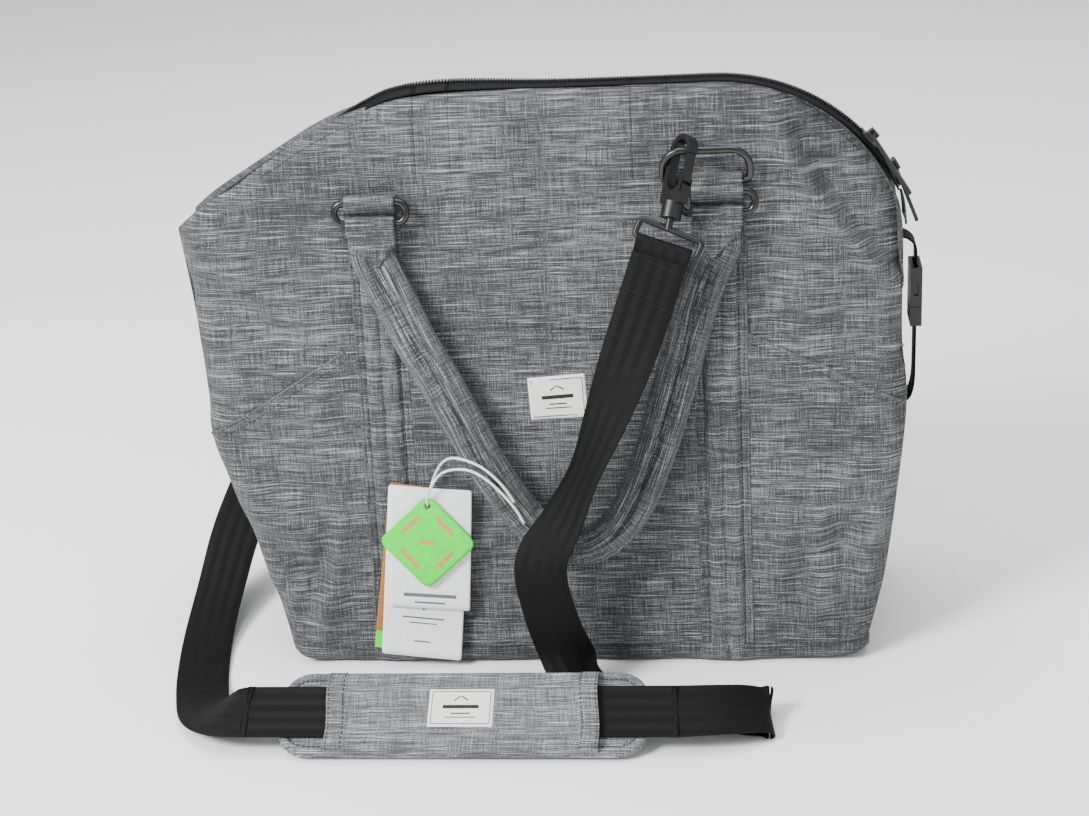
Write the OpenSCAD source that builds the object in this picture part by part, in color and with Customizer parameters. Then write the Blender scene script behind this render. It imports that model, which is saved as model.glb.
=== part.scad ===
// Soft carry-all bag with a zipped mouth, two hanging handles, slip pockets,
// side cinch buckles, and a clipped shoulder strap that lies in front of it.
// The bag stands on its base: +X is to its right, +Y to its back, +Z up.

/* [Body] */
// Width of the bag across its shoulders
body_w = 492; // [420:4:600]
// Height of the bag to the zip
body_h = 404; // [370:2:500]
// Depth of the base
base_depth = 170; // [140:2:220]
// Depth of the bag at the zip
top_depth = 30; // [28:1:50]
// Width of the base
base_w = 420; // [360:4:560]
// Radius of the arched shoulders
shoulder_r = 130; // [90:2:150]
// Thickness of the body cloth with its backing
wall = 2.5; // [2:0.1:4]
// Thickness of the stiffening board in the base
board_t = 2; // [1.5:0.5:4]

/* [Mouth] */
// Width of the part of the mouth that folds open between the handles
lip_w = 130; // [90:2:136]
// Height of the folding lips below the zip
lip_h = 62; // [40:1:70]
// Half width of the zip tape
tape_half = 15; // [12.5:0.5:20]
// Thickness of the zip tape
tape_t = 1; // [0.8:0.1:1.5]
// Gap down the middle of the zip
zip_gap = 1.2; // [1:0.1:2]
// Where the zip ends, in degrees above the level of the shoulder's centre
zip_end = 20; // [15:1:24]

/* [Pockets and strips] */
// Thickness of pocket cloth
pocket_t = 1.5; // [1:0.1:2]
// Gap behind a flat pocket
pocket_gap = 2.5; // [1:0.1:3]
// Height of the front pocket's hem along the panel
pocket_hem = 245; // [180:5:280]
// Distance from the bag's middle to the middle of each strip
strip_x = 118; // [104:1:150]
// Width of each strip
strip_w = 37; // [34:1:42]

/* [Handles] */
// Height of the rings' upper bars along the panel
ring_s = 338.5; // [300:0.5:345]
// Distance of the rings' upper bars out from the panel
ring_out = 9.5; // [9.2:0.1:14]
// Width of each handle ring between wire centres
ring_w = 50; // [48:1:60]
// Height of each handle ring between wire centres
ring_h = 14; // [12:0.5:20]
// Thickness of the ring wire
wire_d = 5; // [4:0.1:5.4]
// Width of the cloth loops that hold the rings
loop_w = 34; // [28:1:35]
// Cloth thickness round a bar
loop_t = 1.8; // [1.5:0.1:2]
// Clearance between a bar and its loop
loop_gap = 0.3; // [0.2:0.05:0.4]

/* [Strap] */
// Width of the webbing
web_w = 38; // [30:1:40]
// Thickness of the webbing
web_t = 1.6; // [1.2:0.1:2]
// Width of each D-ring between wire centres
dee_w = 58; // [54:1:60]
// Height of each D-ring between wire centres
dee_h = 23; // [20:0.5:24]
// Wire thickness of the D-rings
dee_wire = 4.4; // [4:0.1:5]
// Lean of the D-rings out from the panel
dee_lean = 20; // [16:1:24]
// Length of the shoulder pad
pad_l = 252; // [210:2:300]
// Width of the shoulder pad
pad_w = 62; // [54:1:70]
// Thickness of the shoulder pad's base
pad_t = 7; // [5:0.5:9]
// Length of the pad's sleeve
sleeve_l = 185; // [150:5:200]

/* [Side buckles] */
// Width of each side-release buckle
buckle_w = 26; // [24:1:32]
// Thickness of each buckle
buckle_t = 8; // [8:0.5:10]
// Length of each buckle's socket
buckle_l = 28; // [26:1:34]

/* [Hidden] */
$fn = 48;

// Each panel leans in from the base to the zip.
lean = atan((base_depth - top_depth) / 2 / body_h);
arc_x = body_w / 2 - shoulder_r;          // centres of the shoulder arcs
arc_z = body_h - shoulder_r;
base_t = 3;
big = 1000;
fold_z = body_h - lip_h;                  // where the lips fold
split = 0.3;                              // clearance round a moving lip
ring_r = wire_d / 2;
bore_r = ring_r + loop_gap;
loop_r = bore_r + loop_t;
lower_s = ring_s - ring_h;
front_t = pocket_gap + pocket_t;          // pocket face, and so the strips' thickness
dee_r = dee_wire / 2;
dee_x = strip_x - 7;
dee_s = ring_s + 6.5;
dee_out = 5.5;
dee_top_s = dee_s + dee_h * cos(dee_lean);
dee_top_out = dee_out + dee_h * sin(dee_lean);

// Handle centre line on the panel: across, out, up along the panel, width, thickness.
handle_route = [
    [-strip_x, 9.5, lower_s - 8, 32, 9], [-strip_x, 9.5, lower_s - 14, 32, 9], [-strip_x, 9.5, lower_s - 24, 32, 9],
    [-107, 11, 276, 32, 11], [-91, 14, 242, 31, 14], [-70, 16, 203, 30, 18], [-50, 18, 162, 28, 22],
    [-28, 19, 126, 27, 25], [-4, 20, 101, 27, 26], [22, 20, 95, 27, 26], [46, 19, 110, 27, 25],
    [64, 18, 142, 28, 22], [80, 16, 188, 30, 18], [94, 14, 236, 31, 14], [106, 11, 276, 32, 11],
    [strip_x, 9.5, lower_s - 24, 32, 9], [strip_x, 9.5, lower_s - 14, 32, 9], [strip_x, 9.5, lower_s - 8, 32, 9]];

// Webbing stations from the front hook to the back one: centre, then across the width.
strap_route = [
    [79.8, -70, 301.6, 0.91, -0.2, -0.35], [72, -76, 280, 0.91, -0.15, -0.38], [58, -85, 242, 0.88, -0.3, -0.36],
    [41, -95, 200, 0.7, -0.65, -0.25], [24, -103, 160, 0.5, -0.86, -0.1], [8, -111, 128, 0.75, -0.65, 0],
    [-8, -118, 98, 0.96, -0.2, 0.15], [-4, -122, 64, 0.97, -0.1, 0.2], [6, -126, 34, 0.97, 0.1, 0.2],
    [18, -132, 13, 0.62, 0.78, 0], [40, -138, 2.2, 0.3, 0.95, 0], [70, -144, 1.2, 0.2, 0.98, 0],
    [104, -154, 1.4, 0.15, 0.99, 0], [134, -162, 3, 0.1, 0.99, 0.05], [146, -167, 10.4, 0, 0.98, 0.2],
    [136, -173, 17.5, 0, 0.95, 0.3], [114, -181, 22, 0, 0.9, 0.43], [84, -184.5, 23, 0, 0.866, 0.5],
    [60, -184.5, 23, 0, 0.866, 0.5], [-184, -184.5, 23, 0, 0.866, 0.5], [-208, -184.5, 23, 0, 0.866, 0.5], [-228, -180, 19, 0.3, 0.9, 0.35], [-246, -160, 9, 0.66, 0.74, 0.1],
    [-258, -126, 2, 0.92, 0.38, 0], [-266, -92, 1.4, 0.98, 0.15, 0], [-272, -50, 6, 1, 0, 0],
    [-272, -4, 22, 1, 0, 0], [-264, 40, 54, 0.95, 0, -0.2], [-238, 82, 104, 0.85, 0, -0.45],
    [-204, 92, 148, 0.774, -0.136, -0.618], [-170, 86, 192, 0.774, -0.136, -0.618],
    [-136, 80, 236, 0.774, -0.1, -0.618], [-103, 76, 276, 0.9, 0.05, -0.42], [-84.9, 70.5, 298.8, 0.95, 0.15, -0.27]];
fold_at = 14;                             // stations where the three lengths meet
floor_at = 23;
string_route = [
    [-20, -33.8, 116], [-28, -34, 130], [-44, -32.8, 147], [-60, -29, 154], [-78, -20, 149], [-89, -14.5, 134],
    [-91, -13, 125], [-91, -8, 122], [-91, -5.9, 126], [-87, -6.4, 140], [-79, -12, 154], [-66, -31, 163],
    [-48, -36, 158], [-34, -36.4, 145], [-26, -35.4, 132]];
string_d = 1.8;

// ---------- Smooth routes and swept surfaces ----------
function weave(a, b, c, d, t) =
    0.5 * (2 * b + (c - a) * t + (2 * a - 5 * b + 4 * c - d) * t * t + (3 * b - a - 3 * c + d) * t * t * t);
function route(p, n) = let (last = len(p) - 1)
    [for (i = [0:last - 1]) for (k = [0:n - 1])
        weave(p[max(i - 1, 0)], p[i], p[i + 1], p[min(i + 2, last)], k / n), p[last]];
function unit(v) = v / norm(v);
function first3(v) = [v[0], v[1], v[2]];
function along(p, i) = unit(first3(p[min(i + 1, len(p) - 1)]) - first3(p[max(i - 1, 0)]));

// A closed skin over rings of points, capped at both ends; opposite sides split along like diagonals, so a
// twisted band keeps its thickness.
module skin(rings) {
    sides = len(rings[0]);
    last = len(rings) - 1;
    polyhedron(
        points = [for (ring = rings) for (p = ring) p],
        faces = concat(
            [[for (k = [0:sides - 1]) k]],
            [for (i = [0:last - 1]) for (k = [0:sides - 1]) let (a = i * sides + k, b = i * sides + (k + 1) % sides)
                each 2 * k < sides ? [[a, a + sides, b], [b, a + sides, b + sides]]
                    : [[a, a + sides, b + sides], [a, b + sides, b]]],
            [[for (k = [sides - 1:-1:0]) last * sides + k]]));
}

// A flat band between two stations: each gives a centre and the direction across the width.
module webbing(first, last, n = 3) {
    p = route(strap_route, n);
    w = web_w;
    t = web_t;
    skin([for (i = [first * n:last * n]) let (c = first3(p[i]), f = along(p, i),
        raw = [p[i][3], p[i][4], p[i][5]], u = unit(raw - f * (raw * f)), v = cross(f, u))
        [c - u * w / 2 - v * t / 2, c - u * w / 2 + v * t / 2, c + u * w / 2 + v * t / 2, c + u * w / 2 - v * t / 2]]);
}

// A round cord.
module cord(points, d, sides, n) {
    p = route(points, n);
    ref = [0.3, 0.2, -1];
    skin([for (i = [0:len(p) - 1]) let (f = along(p, i), u = unit(cross(f, ref)), v = cross(f, u))
        [for (k = [0:sides - 1]) p[i] + d / 2 * (cos(360 * k / sides) * u + sin(360 * k / sides) * v)]]);
}

// ---------- The bag's outer shape ----------
// Front outline, drawn in by a given inset: straight sides, round shoulders, flat top.
module outline(inset = 0) {
    half = body_w / 2 - inset;
    foot = base_w / 2 - inset;
    for (side = [-1, 1]) translate([side * arc_x, arc_z]) circle(r = shoulder_r - inset, $fn = 180);
    polygon([[-arc_x, body_h - inset], [-half, arc_z], [-half + 3, 185], [-foot, 14], [-foot + 10, inset],
        [foot - 10, inset], [foot, 14], [half - 3, 185], [half, arc_z], [arc_x, body_h - inset]]);
}
module along_y(depth = big) rotate([90, 0, 0]) linear_extrude(depth, center = true) children();
module along_x(width = big) rotate([90, 0, 90]) linear_extrude(width, center = true) children();
module profile(inset = 0) {
    polygon([[-base_depth / 2 + inset, 0], [base_depth / 2 - inset, 0],
        [top_depth / 2 - inset, body_h], [-top_depth / 2 + inset, body_h]]);
}
module solid_bag(inset = 0) intersection() { along_y() outline(inset); along_x() profile(inset); }
module front_half() translate([-big / 2, -big, -big / 2]) cube([big, big, big]);
module above_base(z = base_t) translate([-big / 2, -big / 2, z]) cube([big, big, big]);
module lip_window(grow = 0) {
    translate([-lip_w / 2 - grow, -big / 2, fold_z - grow]) cube([lip_w + 2 * grow, big, big]);
}
// The front panel as a leaning slab; the back one is its half turn.
module panel_slab() {
    difference() {
        intersection() { along_y() outline(); along_x() profile(); front_half(); above_base(); }
        along_x(big * 2) profile(wall);
    }
}
module half_turn() rotate([0, 0, 180]) children();
// Moves a piece from the panel's own frame (across, inward, up the panel) to the bag.
module on_front() translate([0, -base_depth / 2, 0]) rotate([-lean, 0, 0]) children();
module on_back() half_turn() on_front() children();

// ---------- Cloth of the body ----------
module base_panel() color("#85898f") difference() { solid_bag(); above_base(); }
module base_board() color("#30343a") {
    translate([-base_w / 2 + 14, -base_depth / 2 + 8, base_t]) cube([base_w - 28, base_depth - 16, board_t]);
}
module front_panel() color("#8f9398") difference() { panel_slab(); lip_window(split); }
module back_panel() color("#8f9398") half_turn() front_panel();
// The band that runs round the sides between the panels, open where the zip lies.
module side_band() {
    difference() {
        intersection() { along_y() outline(); along_x() profile(wall); above_base(); }
        along_y() outline(wall);
        zip_zone(tape_half);
        translate([-arc_x - 40, -big / 2, arc_z]) cube([2 * arc_x + 80, big, big]);
    }
}
// The space over the shoulder arcs and the flat top that the zip takes.
module zip_zone(half_y) {
    translate([0, 0, arc_z]) intersection() {
        translate([-big / 2, -half_y, 0]) cube([big, 2 * half_y, big]);
        union() {
            for (side = [-1, 1]) translate([side * arc_x, 0, 0]) mirror([side < 0 ? 1 : 0, 0, 0]) rotate([90, 0, 0])
                linear_extrude(big, center = true)
                    polygon([[0, 0], [big * cos(zip_end), big * sin(zip_end)], [big, big], [0, big]]);
            translate([-arc_x, -big / 2, 0]) cube([2 * arc_x, big, big]);
        }
    }
}
module right_gusset() color("#6f7379") intersection() { side_band(); translate([0, -big / 2, 0]) cube(big); }
module left_gusset() color("#6f7379") mirror([1, 0, 0]) right_gusset();
// A thin cloth bucket inside the walls.
module lining() color("#3b3f45") {
    gap = 0.4;
    cloth = 0.8;
    top_cut = 318;
    difference() {
        intersection() { along_y() outline(wall + gap); along_x() profile(wall + gap); above_base(base_t + board_t + gap); }
        intersection() {
            along_y() outline(wall + gap + cloth);
            along_x() profile(wall + gap + cloth);
            above_base(base_t + board_t + gap + cloth);
        }
        above_base(top_cut);
    }
}
// A slip pocket sewn to the lining's back wall.
module inner_pocket() color("#3b3f45") on_back() {
    in = wall + 1.2 + 0.05;
    depth = 9;
    wide = 200;
    difference() {
        translate([-wide / 2, in, 60]) cube([wide, depth, 130]);
        translate([-wide / 2 + 1, in - 1, 61]) cube([wide - 2, depth, 130]);
    }
}

// ---------- Zip ----------
// The zip's tape and coil follow the outline's top; the section is across and out.
module zip_strip(depth, height, y0, y1, mid = 0) {
    r = shoulder_r;
    for (side = [-1, 1]) translate([side * arc_x, 0, arc_z]) mirror([side < 0 ? 1 : 0, 0, 0])
        rotate([90, 0, 0]) rotate([0, 0, zip_end]) rotate_extrude(angle = 90 - zip_end, $fn = 180)
            translate([r - depth, y0]) square([depth + height, y1 - y0]);
    translate([-arc_x, -y1, body_h - depth]) cube([2 * arc_x, y1 - y0, depth + height]);
}
module tape_half_solid() {
    intersection() {
        zip_strip(tape_t, 0, zip_gap / 2, tape_half);
        along_x() profile(wall);
    }
}
module coil_half_solid() zip_strip(0, 2, zip_gap / 2, 3);
module front_only_lip() translate([-lip_w / 2, -big, fold_z]) cube([lip_w, big, big]);
module away_from_lip() difference() { children(); lip_window(split); }
module zip_ends() color("#141414") {
    for (turn = [0, 180]) rotate([0, 0, turn]) away_from_lip() { tape_half_solid(); coil_half_solid(); }
}
module front_zip_tape() color("#141414") intersection() { tape_half_solid(); front_only_lip(); }
module front_zip_coil() color("#202020") intersection() { coil_half_solid(); front_only_lip(); }
module back_zip_tape() half_turn() front_zip_tape();
module back_zip_coil() half_turn() front_zip_coil();
module front_lip() color("#8f9398") intersection() { panel_slab(); front_only_lip(); }
module back_lip() half_turn() front_lip();
// Folded cloth tabs sewn over the two ends of the zip.
module zip_end_tabs() color("#5a5d61") {
    for (side = [-1, 1]) translate([side * arc_x, 0, arc_z]) mirror([side < 0 ? 1 : 0, 0, 0]) rotate([90, 0, 0])
        rotate([0, 0, zip_end - 8]) rotate_extrude(angle = 7.8, $fn = 180)
            translate([shoulder_r, -12]) square([2, 24]);
}

// A slider runs on the shoulder arc: plates above and below, a blade in the gap.
slider_sweep = 6;
pull_r = shoulder_r + 7.2;
module slider(angle) color("#1b1b1b") translate([arc_x, 0, arc_z]) {
    r = shoulder_r;
    rotate([90, 0, 0]) rotate([0, 0, angle]) {
        rotate_extrude(angle = slider_sweep, $fn = 180) {
            translate([r + 2.6, -5]) square([1.8, 10]);
            for (y = [-5, 3.6]) translate([r + 0.5, y]) square([3, 1.4]);
            translate([r - tape_t - 2.6, -5]) square([2, 10]);
            translate([r - tape_t - 1.6, -0.3]) square([6, 0.6]);
        }
    }
    rotate([0, -angle - slider_sweep / 2, 0]) difference() {
        translate([r + 4, -2.5, -3.5]) cube([6, 5, 7]);
        translate([pull_r, 0, 0]) rotate([90, 0, 0]) cylinder(r = 1.3, h = 20, center = true);
    }
}
// A cord pull: a pin through the slider, and a flat cord loop that hangs to one side.
module pull(angle, side) color("#161616") translate([arc_x, 0, arc_z])
    rotate([0, -angle - slider_sweep / 2, 0]) translate([pull_r, 0, 0]) rotate([0, 7, 0]) {
        rotate([90, 0, 0]) translate([0, 0, side > 0 ? -14 : -4]) cylinder(r = 1, h = 18);
        for (y = [side > 0 ? 6.5 : -13.5]) translate([-1.2, y, -46]) cube([2.4, 7, 47.4]);
    }
module slider_upper() slider(36);
module slider_lower() slider(25);
module pull_upper() pull(36, -1);
module pull_lower() pull(25, 1);

// ---------- Pockets, strips and labels ----------
module front_pocket() color("#8f9398") on_front() {
    half = strip_x - strip_w / 2;
    translate([-half, -front_t, 14]) cube([2 * half, pocket_t, pocket_hem - 14]);
    translate([-half, -front_t, 14]) cube([2 * half, front_t, 6]);
}
// A slash pocket: its hem falls from the strip to the bag's edge.
module right_side_pocket() color("#8f9398") on_front() {
    inner = strip_x + strip_w / 2;
    outer = body_w / 2 - 6;
    foot = base_w / 2 - 6;
    face = [[inner, 14], [foot, 14], [outer - 2, 176], [inner, pocket_hem - 6]];
    rotate([90, 0, 0]) translate([0, 0, pocket_gap]) linear_extrude(pocket_t) polygon(face);
    rotate([90, 0, 0]) linear_extrude(front_t) polygon([[inner, 14], [foot, 14], [foot + 0.2, 20], [inner, 20]]);
    rotate([90, 0, 0]) linear_extrude(front_t) polygon([[foot - 4, 14], [foot, 14], [outer - 2, 176], [outer - 6, 178]]);
}
module left_side_pocket() mirror([1, 0, 0]) right_side_pocket();
// A strip up the panel that ends in a loop round the ring's upper bar; one also holds a D-ring.
module strip(side, with_dee) color("#83878d") translate([side * strip_x, 0, 0]) difference() {
    union() {
        translate([-strip_w / 2, -front_t, 4]) cube([strip_w, front_t, ring_s - 4]);
        translate([-loop_w / 2, -ring_out, ring_s - loop_r]) cube([loop_w, ring_out, 2 * loop_r]);
        bar(loop_w, loop_r, ring_out, ring_s);
        if (with_dee) hull() {
            bar(loop_w, dee_r + loop_gap + loop_t, dee_out, dee_s);
            translate([-loop_w / 2, -0.5, dee_s - 4]) cube([loop_w, 0.5, 8]);
        }
    }
    bar(big, bore_r, ring_out, ring_s);
    if (with_dee) bar(big, dee_r + loop_gap, dee_out, dee_s);
}
module bar(length, r, out, s) translate([-length / 2, -out, s]) rotate([0, 90, 0]) cylinder(r = r, h = length);
module front_strip_left() on_front() strip(-1, false);
module front_strip_right() on_front() strip(1, true);
module back_strips() on_back() { strip(-1, false); strip(1, true); }
module label_plate(w, h, t) color("#e3e3e1") cube([w, t, h], center = true);
module bag_label() on_front() translate([4, -front_t - 0.5, 198]) rotate([0, -3, 0]) label_plate(40, 30, 1);

// ---------- Rings and handles ----------
// A closed wire ring in the panel's plane, from straight bars and quarter bends.
module wire_ring(w, h, top_r, foot_r, r) {
    for (side = [-1, 1]) mirror([side < 0 ? 1 : 0, 0, 0]) {
        translate([w / 2 - top_r, 0, h - top_r]) rotate([90, 0, 0]) rotate_extrude(angle = 90) translate([top_r, 0]) circle(r);
        translate([w / 2 - foot_r, 0, foot_r]) rotate([90, 0, 0]) rotate([0, 0, -90])
            rotate_extrude(angle = 90) translate([foot_r, 0]) circle(r);
        translate([w / 2, 0, foot_r]) cylinder(r = r, h = h - top_r - foot_r);
    }
    translate([-w / 2 + top_r, 0, h]) rotate([0, 90, 0]) cylinder(r = r, h = w - 2 * top_r);
    translate([-w / 2 + foot_r, 0, 0]) rotate([0, 90, 0]) cylinder(r = r, h = w - 2 * foot_r);
}
module handle_ring(side) color("#101010") {
    translate([side * strip_x, -ring_out, lower_s]) wire_ring(ring_w, ring_h, ring_h / 2 - 0.5, ring_h / 2 - 0.5, ring_r);
}
module front_ring_left() on_front() handle_ring(-1);
module front_ring_right() on_front() handle_ring(1);
module back_ring_left() on_back() handle_ring(-1);
module back_ring_right() on_back() handle_ring(1);
module handle() color("#8f9398") {
    sides = 14;
    p = route(handle_route, 3);
    skin([for (i = [0:len(p) - 1]) let (a = p[min(i + 1, len(p) - 1)], b = p[max(i - 1, 0)],
        t = unit([a[0] - b[0], a[2] - b[2]]))
        [for (k = [0:sides - 1]) let (u = cos(360 * k / sides) * p[i][3] / 2, v = sin(360 * k / sides) * p[i][4] / 2)
            [p[i][0] - t[1] * u, -p[i][1] + v, p[i][2] + t[0] * u]]]);
}
// Folded cloth tabs that hang the handle on its two rings.
module handle_tabs() color("#7d8187") for (side = [-1, 1]) translate([side * strip_x, 0, 0]) difference() {
    union() {
        bar(loop_w, loop_r, ring_out, lower_s);
        translate([-loop_w / 2, -ring_out - 4.5, lower_s - 8]) cube([loop_w, 9, 8]);
    }
    bar(big, bore_r, ring_out, lower_s);
}
module front_handle() on_front() handle();
module back_handle() on_back() handle();
module front_handle_tabs() on_front() handle_tabs();
module back_handle_tabs() on_back() handle_tabs();

// ---------- D-rings and snap hooks ----------
module dee_ring() color("#101010") translate([dee_x, -dee_out, dee_s]) rotate([dee_lean, 0, 0])
    wire_ring(dee_w, dee_h, 8, 5, dee_r);
module front_dee_ring() on_front() dee_ring();
module back_dee_ring() on_back() dee_ring();

// The hook hangs from the D-ring's top bar; its frame has the bar at the origin.
hook_x = dee_x - 14.4;
hook_tilt = 20;
hook_lean = 12;
hook_turn = -50;
hook_t = 7;
opening_r = 7.2;
opening_low = -20;
hook_r = 11;
body_low = -36;
collar_h = 10;
collar_r = 7;
collar_low = body_low - collar_h;
gate_x = 8.6;
gate_pin_z = -26.5;
eye_h = 12;
eye_low = collar_low - 19.4;
eye_r = 2.1;
module hook_frame() translate([hook_x, -dee_top_out, dee_top_s]) rotate([-hook_tilt, 0, 0])
    rotate([0, hook_lean, 0]) children();
module in_hook_plane() rotate([0, 0, hook_turn]) rotate([90, 0, 0]) linear_extrude(hook_t, center = true) children();
module gate_pin(r, length) {
    rotate([0, 0, hook_turn]) translate([gate_x, 0, gate_pin_z]) rotate([90, 0, 0])
        cylinder(r = r, h = length, center = true);
}
module hook_body() color("#151515") hook_frame() difference() {
    union() {
        in_hook_plane() difference() {
            union() {
                circle(hook_r);
                translate([-hook_r, body_low]) square([2 * hook_r, -body_low]);
            }
            circle(opening_r);
            translate([-opening_r, opening_low]) square([2 * opening_r, -opening_low]);
            translate([0, opening_low]) circle(opening_r);
            translate([opening_r - 0.1, opening_low - 4]) square([10, 22]);
        }
        translate([0, 0, collar_low]) cylinder(r = collar_r, h = collar_h + 1);
    }
    translate([0, 0, collar_low - 1]) cylinder(r = 2.6, h = 9);
    translate([0, 0, collar_low + 3]) cylinder(r = 4.4, h = 5);
    gate_pin(1.3, 20);
}
// The gate closes the hook's mouth and turns in on its own pin.
module hook_gate() color("#1d1d1d") hook_frame() {
    rotate([0, 0, hook_turn]) {
        translate([opening_r + 0.4, -hook_t / 2 + 0.5, opening_low - 1]) cube([3, hook_t - 1, 18.5]);
        for (side = [-1, 1]) translate([gate_x - 1.4, side * (hook_t / 2 + 0.7) - 0.4, gate_pin_z - 1.5])
            cube([2.8, 0.8, 9]);
        translate([gate_x + 0.4, -hook_t / 2 - 0.9, gate_pin_z + 5]) cube([1.2, hook_t + 1.8, 3]);
    }
    gate_pin(1.2, hook_t + 2.2);
}
// The swivel eye: a headed pin in the collar, and a wide loop for the webbing.
module hook_eye(turn) color("#151515") hook_frame() {
    translate([0, 0, collar_low + 3.4]) cylinder(r = 4, h = 4.2);
    translate([0, 0, collar_low - 8]) cylinder(r = 2.5, h = 13);
    in_eye(turn) wire_ring(web_w + 6, eye_h, 3, 3, eye_r);
}
module in_eye(turn) translate([0, 0, eye_low]) rotate([0, turn, 0]) children();
front_eye_turn = 12;
back_eye_turn = -26;
module front_hook_body() on_front() hook_body();
module back_hook_body() on_back() hook_body();
module front_hook_gate() on_front() hook_gate();
module back_hook_gate() on_back() hook_gate();
module front_hook_eye() on_front() hook_eye(front_eye_turn);
module back_hook_eye() on_back() hook_eye(back_eye_turn);

// ---------- Shoulder strap ----------
module strap_front_run() color("#161616") webbing(0, fold_at);
module strap_pad_run() color("#161616") webbing(fold_at, floor_at);
module strap_back_run() color("#161616") webbing(floor_at, len(strap_route) - 1);
// A flat three-bar adjuster on the webbing behind the bag.
adjuster_at = first3(strap_route[30]);
adjuster_dir = unit(first3(strap_route[31]) - first3(strap_route[29]));
module strap_adjuster() color("#101010") translate(adjuster_at)
    rotate([0, -asin(adjuster_dir[2]), atan2(adjuster_dir[1], adjuster_dir[0])]) difference() {
        cube([24, 7, web_w + 10], center = true);
        cube([30, web_t + 1.8, web_w + 1.6], center = true);
        for (x = [-6, 6]) translate([x, 0, 0]) cube([7, 20, web_w + 1.6], center = true);
    }
// The pad lies tilted in front of the bag; its frame starts at the middle of its front edge.
module pad_frame() translate([-60, -207, 0.2]) rotate([30, 0, 0]) children();
module pad_outline(end_r = 20) hull() for (x = [-1, 1]) for (y = [-1, 1])
    translate([x * (pad_l / 2 - end_r), pad_w / 2 + y * (pad_w / 2 - end_r)]) circle(end_r, $fn = 32);
module pad_base() color("#8f9398") pad_frame() linear_extrude(pad_t) pad_outline();
sleeve_h = 5.6;
module pad_sleeve() color("#8f9398") pad_frame() difference() {
    translate([-sleeve_l / 2, 2, pad_t]) cube([sleeve_l, pad_w - 4, sleeve_h]);
    translate([-sleeve_l, (pad_w - web_w) / 2 - 2, pad_t - 1]) cube([2 * sleeve_l, web_w + 4, sleeve_h - 1]);
}
module pad_label() pad_frame() translate([0, pad_w / 2, pad_t + sleeve_h + 0.5]) rotate([90, 0, 0])
    label_plate(44, 28, 1);

// ---------- Side buckles ----------
// Each cinch buckle hangs flat on a gusset: a sewn socket above, a plug on loose webbing below.
buckle_x = body_w / 2 + 2.2;
buckle_top = 268;
tongue_l = 13;
module buckle_socket() color("#121212") translate([buckle_x, -buckle_w / 2, buckle_top - buckle_l]) difference() {
    cube([buckle_t, buckle_w, buckle_l]);
    translate([1.6, 2, -1]) cube([buckle_t - 3.2, buckle_w - 4, buckle_l - 5]);
    for (y = [-1, buckle_w - 1.5]) translate([2.4, y, 8]) cube([buckle_t - 4.8, 2.5, 10]);
    translate([2.4, 3, buckle_l - 4]) cube([buckle_t - 4.8, buckle_w - 6, 5]);
}
module buckle_plug() color("#121212") translate([buckle_x, -buckle_w / 2, buckle_top - buckle_l]) {
    difference() {
        translate([0, 0, -14.5]) cube([buckle_t, buckle_w, 14]);
        for (z = [-12, -6.5]) translate([-1, 3, z]) cube([buckle_t + 2, buckle_w - 6, 3.4]);
        translate([buckle_t / 2 - 1.4, 3, -20]) cube([2.8, buckle_w - 6, 30]);
    }
    for (y = [2.6, buckle_w - 6.6]) translate([2.2, y, -1]) cube([buckle_t - 4.4, 4, tongue_l]);
    translate([2.6, buckle_w / 2 - 1.5, -1]) cube([buckle_t - 5.2, 3, tongue_l - 2]);
}
// Two webbing lengths on each gusset: one holds the socket, one passes down through the plug.
module side_webs() color("#161616") {
    side_w = buckle_w - 7;
    x = buckle_x + buckle_t / 2;
    low = buckle_top - buckle_l - 76;
    translate([x - 0.8, -side_w / 2, buckle_top - 3.6]) cube([1.6, side_w, 24]);
    translate([x - 0.8, -side_w / 2, low]) cube([1.6, side_w, 63]);
    difference() {
        for (z = [buckle_top + 14, low]) translate([body_w / 2 - 14, -side_w / 2, z])
            cube([x - body_w / 2 + 14.8, side_w, 6]);
        along_y() outline();
    }
}
module right_buckle_socket() buckle_socket();
module left_buckle_socket() mirror([1, 0, 0]) buckle_socket();
module right_buckle_plug() buckle_plug();
module left_buckle_plug() mirror([1, 0, 0]) buckle_plug();
module side_straps() for (side = [0, 1]) mirror([side, 0, 0]) side_webs();

// ---------- Hang tags ----------
hole_x = -91;
hole_s = 123;
module card(w, h, t, out, turn, shift) translate([hole_x, -out, hole_s]) rotate([0, turn, 0]) difference() {
    translate([-w / 2 + shift, -t, 12 - h]) cube([w, t, h]);
    rotate([90, 0, 0]) cylinder(r = 2.6, h = 20, center = true);
}
module kraft_tag() color("#b5814a") on_front() card(54, 126, 0.6, 7.4, 9, -2);
module large_card() color("#f2f2f5") on_front() card(58, 128, 0.6, 8.4, 6, 0);
module small_card() color("#f2f2f5") on_front() card(58, 90, 0.6, 9.4, 4, 2);
module green_tag() color("#35f04a") on_front() translate([hole_x, -12, hole_s]) rotate([0, 3, 0]) difference() {
    translate([0, 0, -27]) rotate([0, 45, 0]) rotate([90, 0, 0]) translate([0, 0, -1.5]) linear_extrude(1.5)
        hull() for (x = [-1, 1]) for (y = [-1, 1]) translate([x * 19, y * 19]) circle(6, $fn = 32);
    rotate([90, 0, 0]) cylinder(r = 2.6, h = 20, center = true);
}
module tag_string() color("#f4f4f0") on_front() cord(string_route, string_d, 8, 4);

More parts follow.
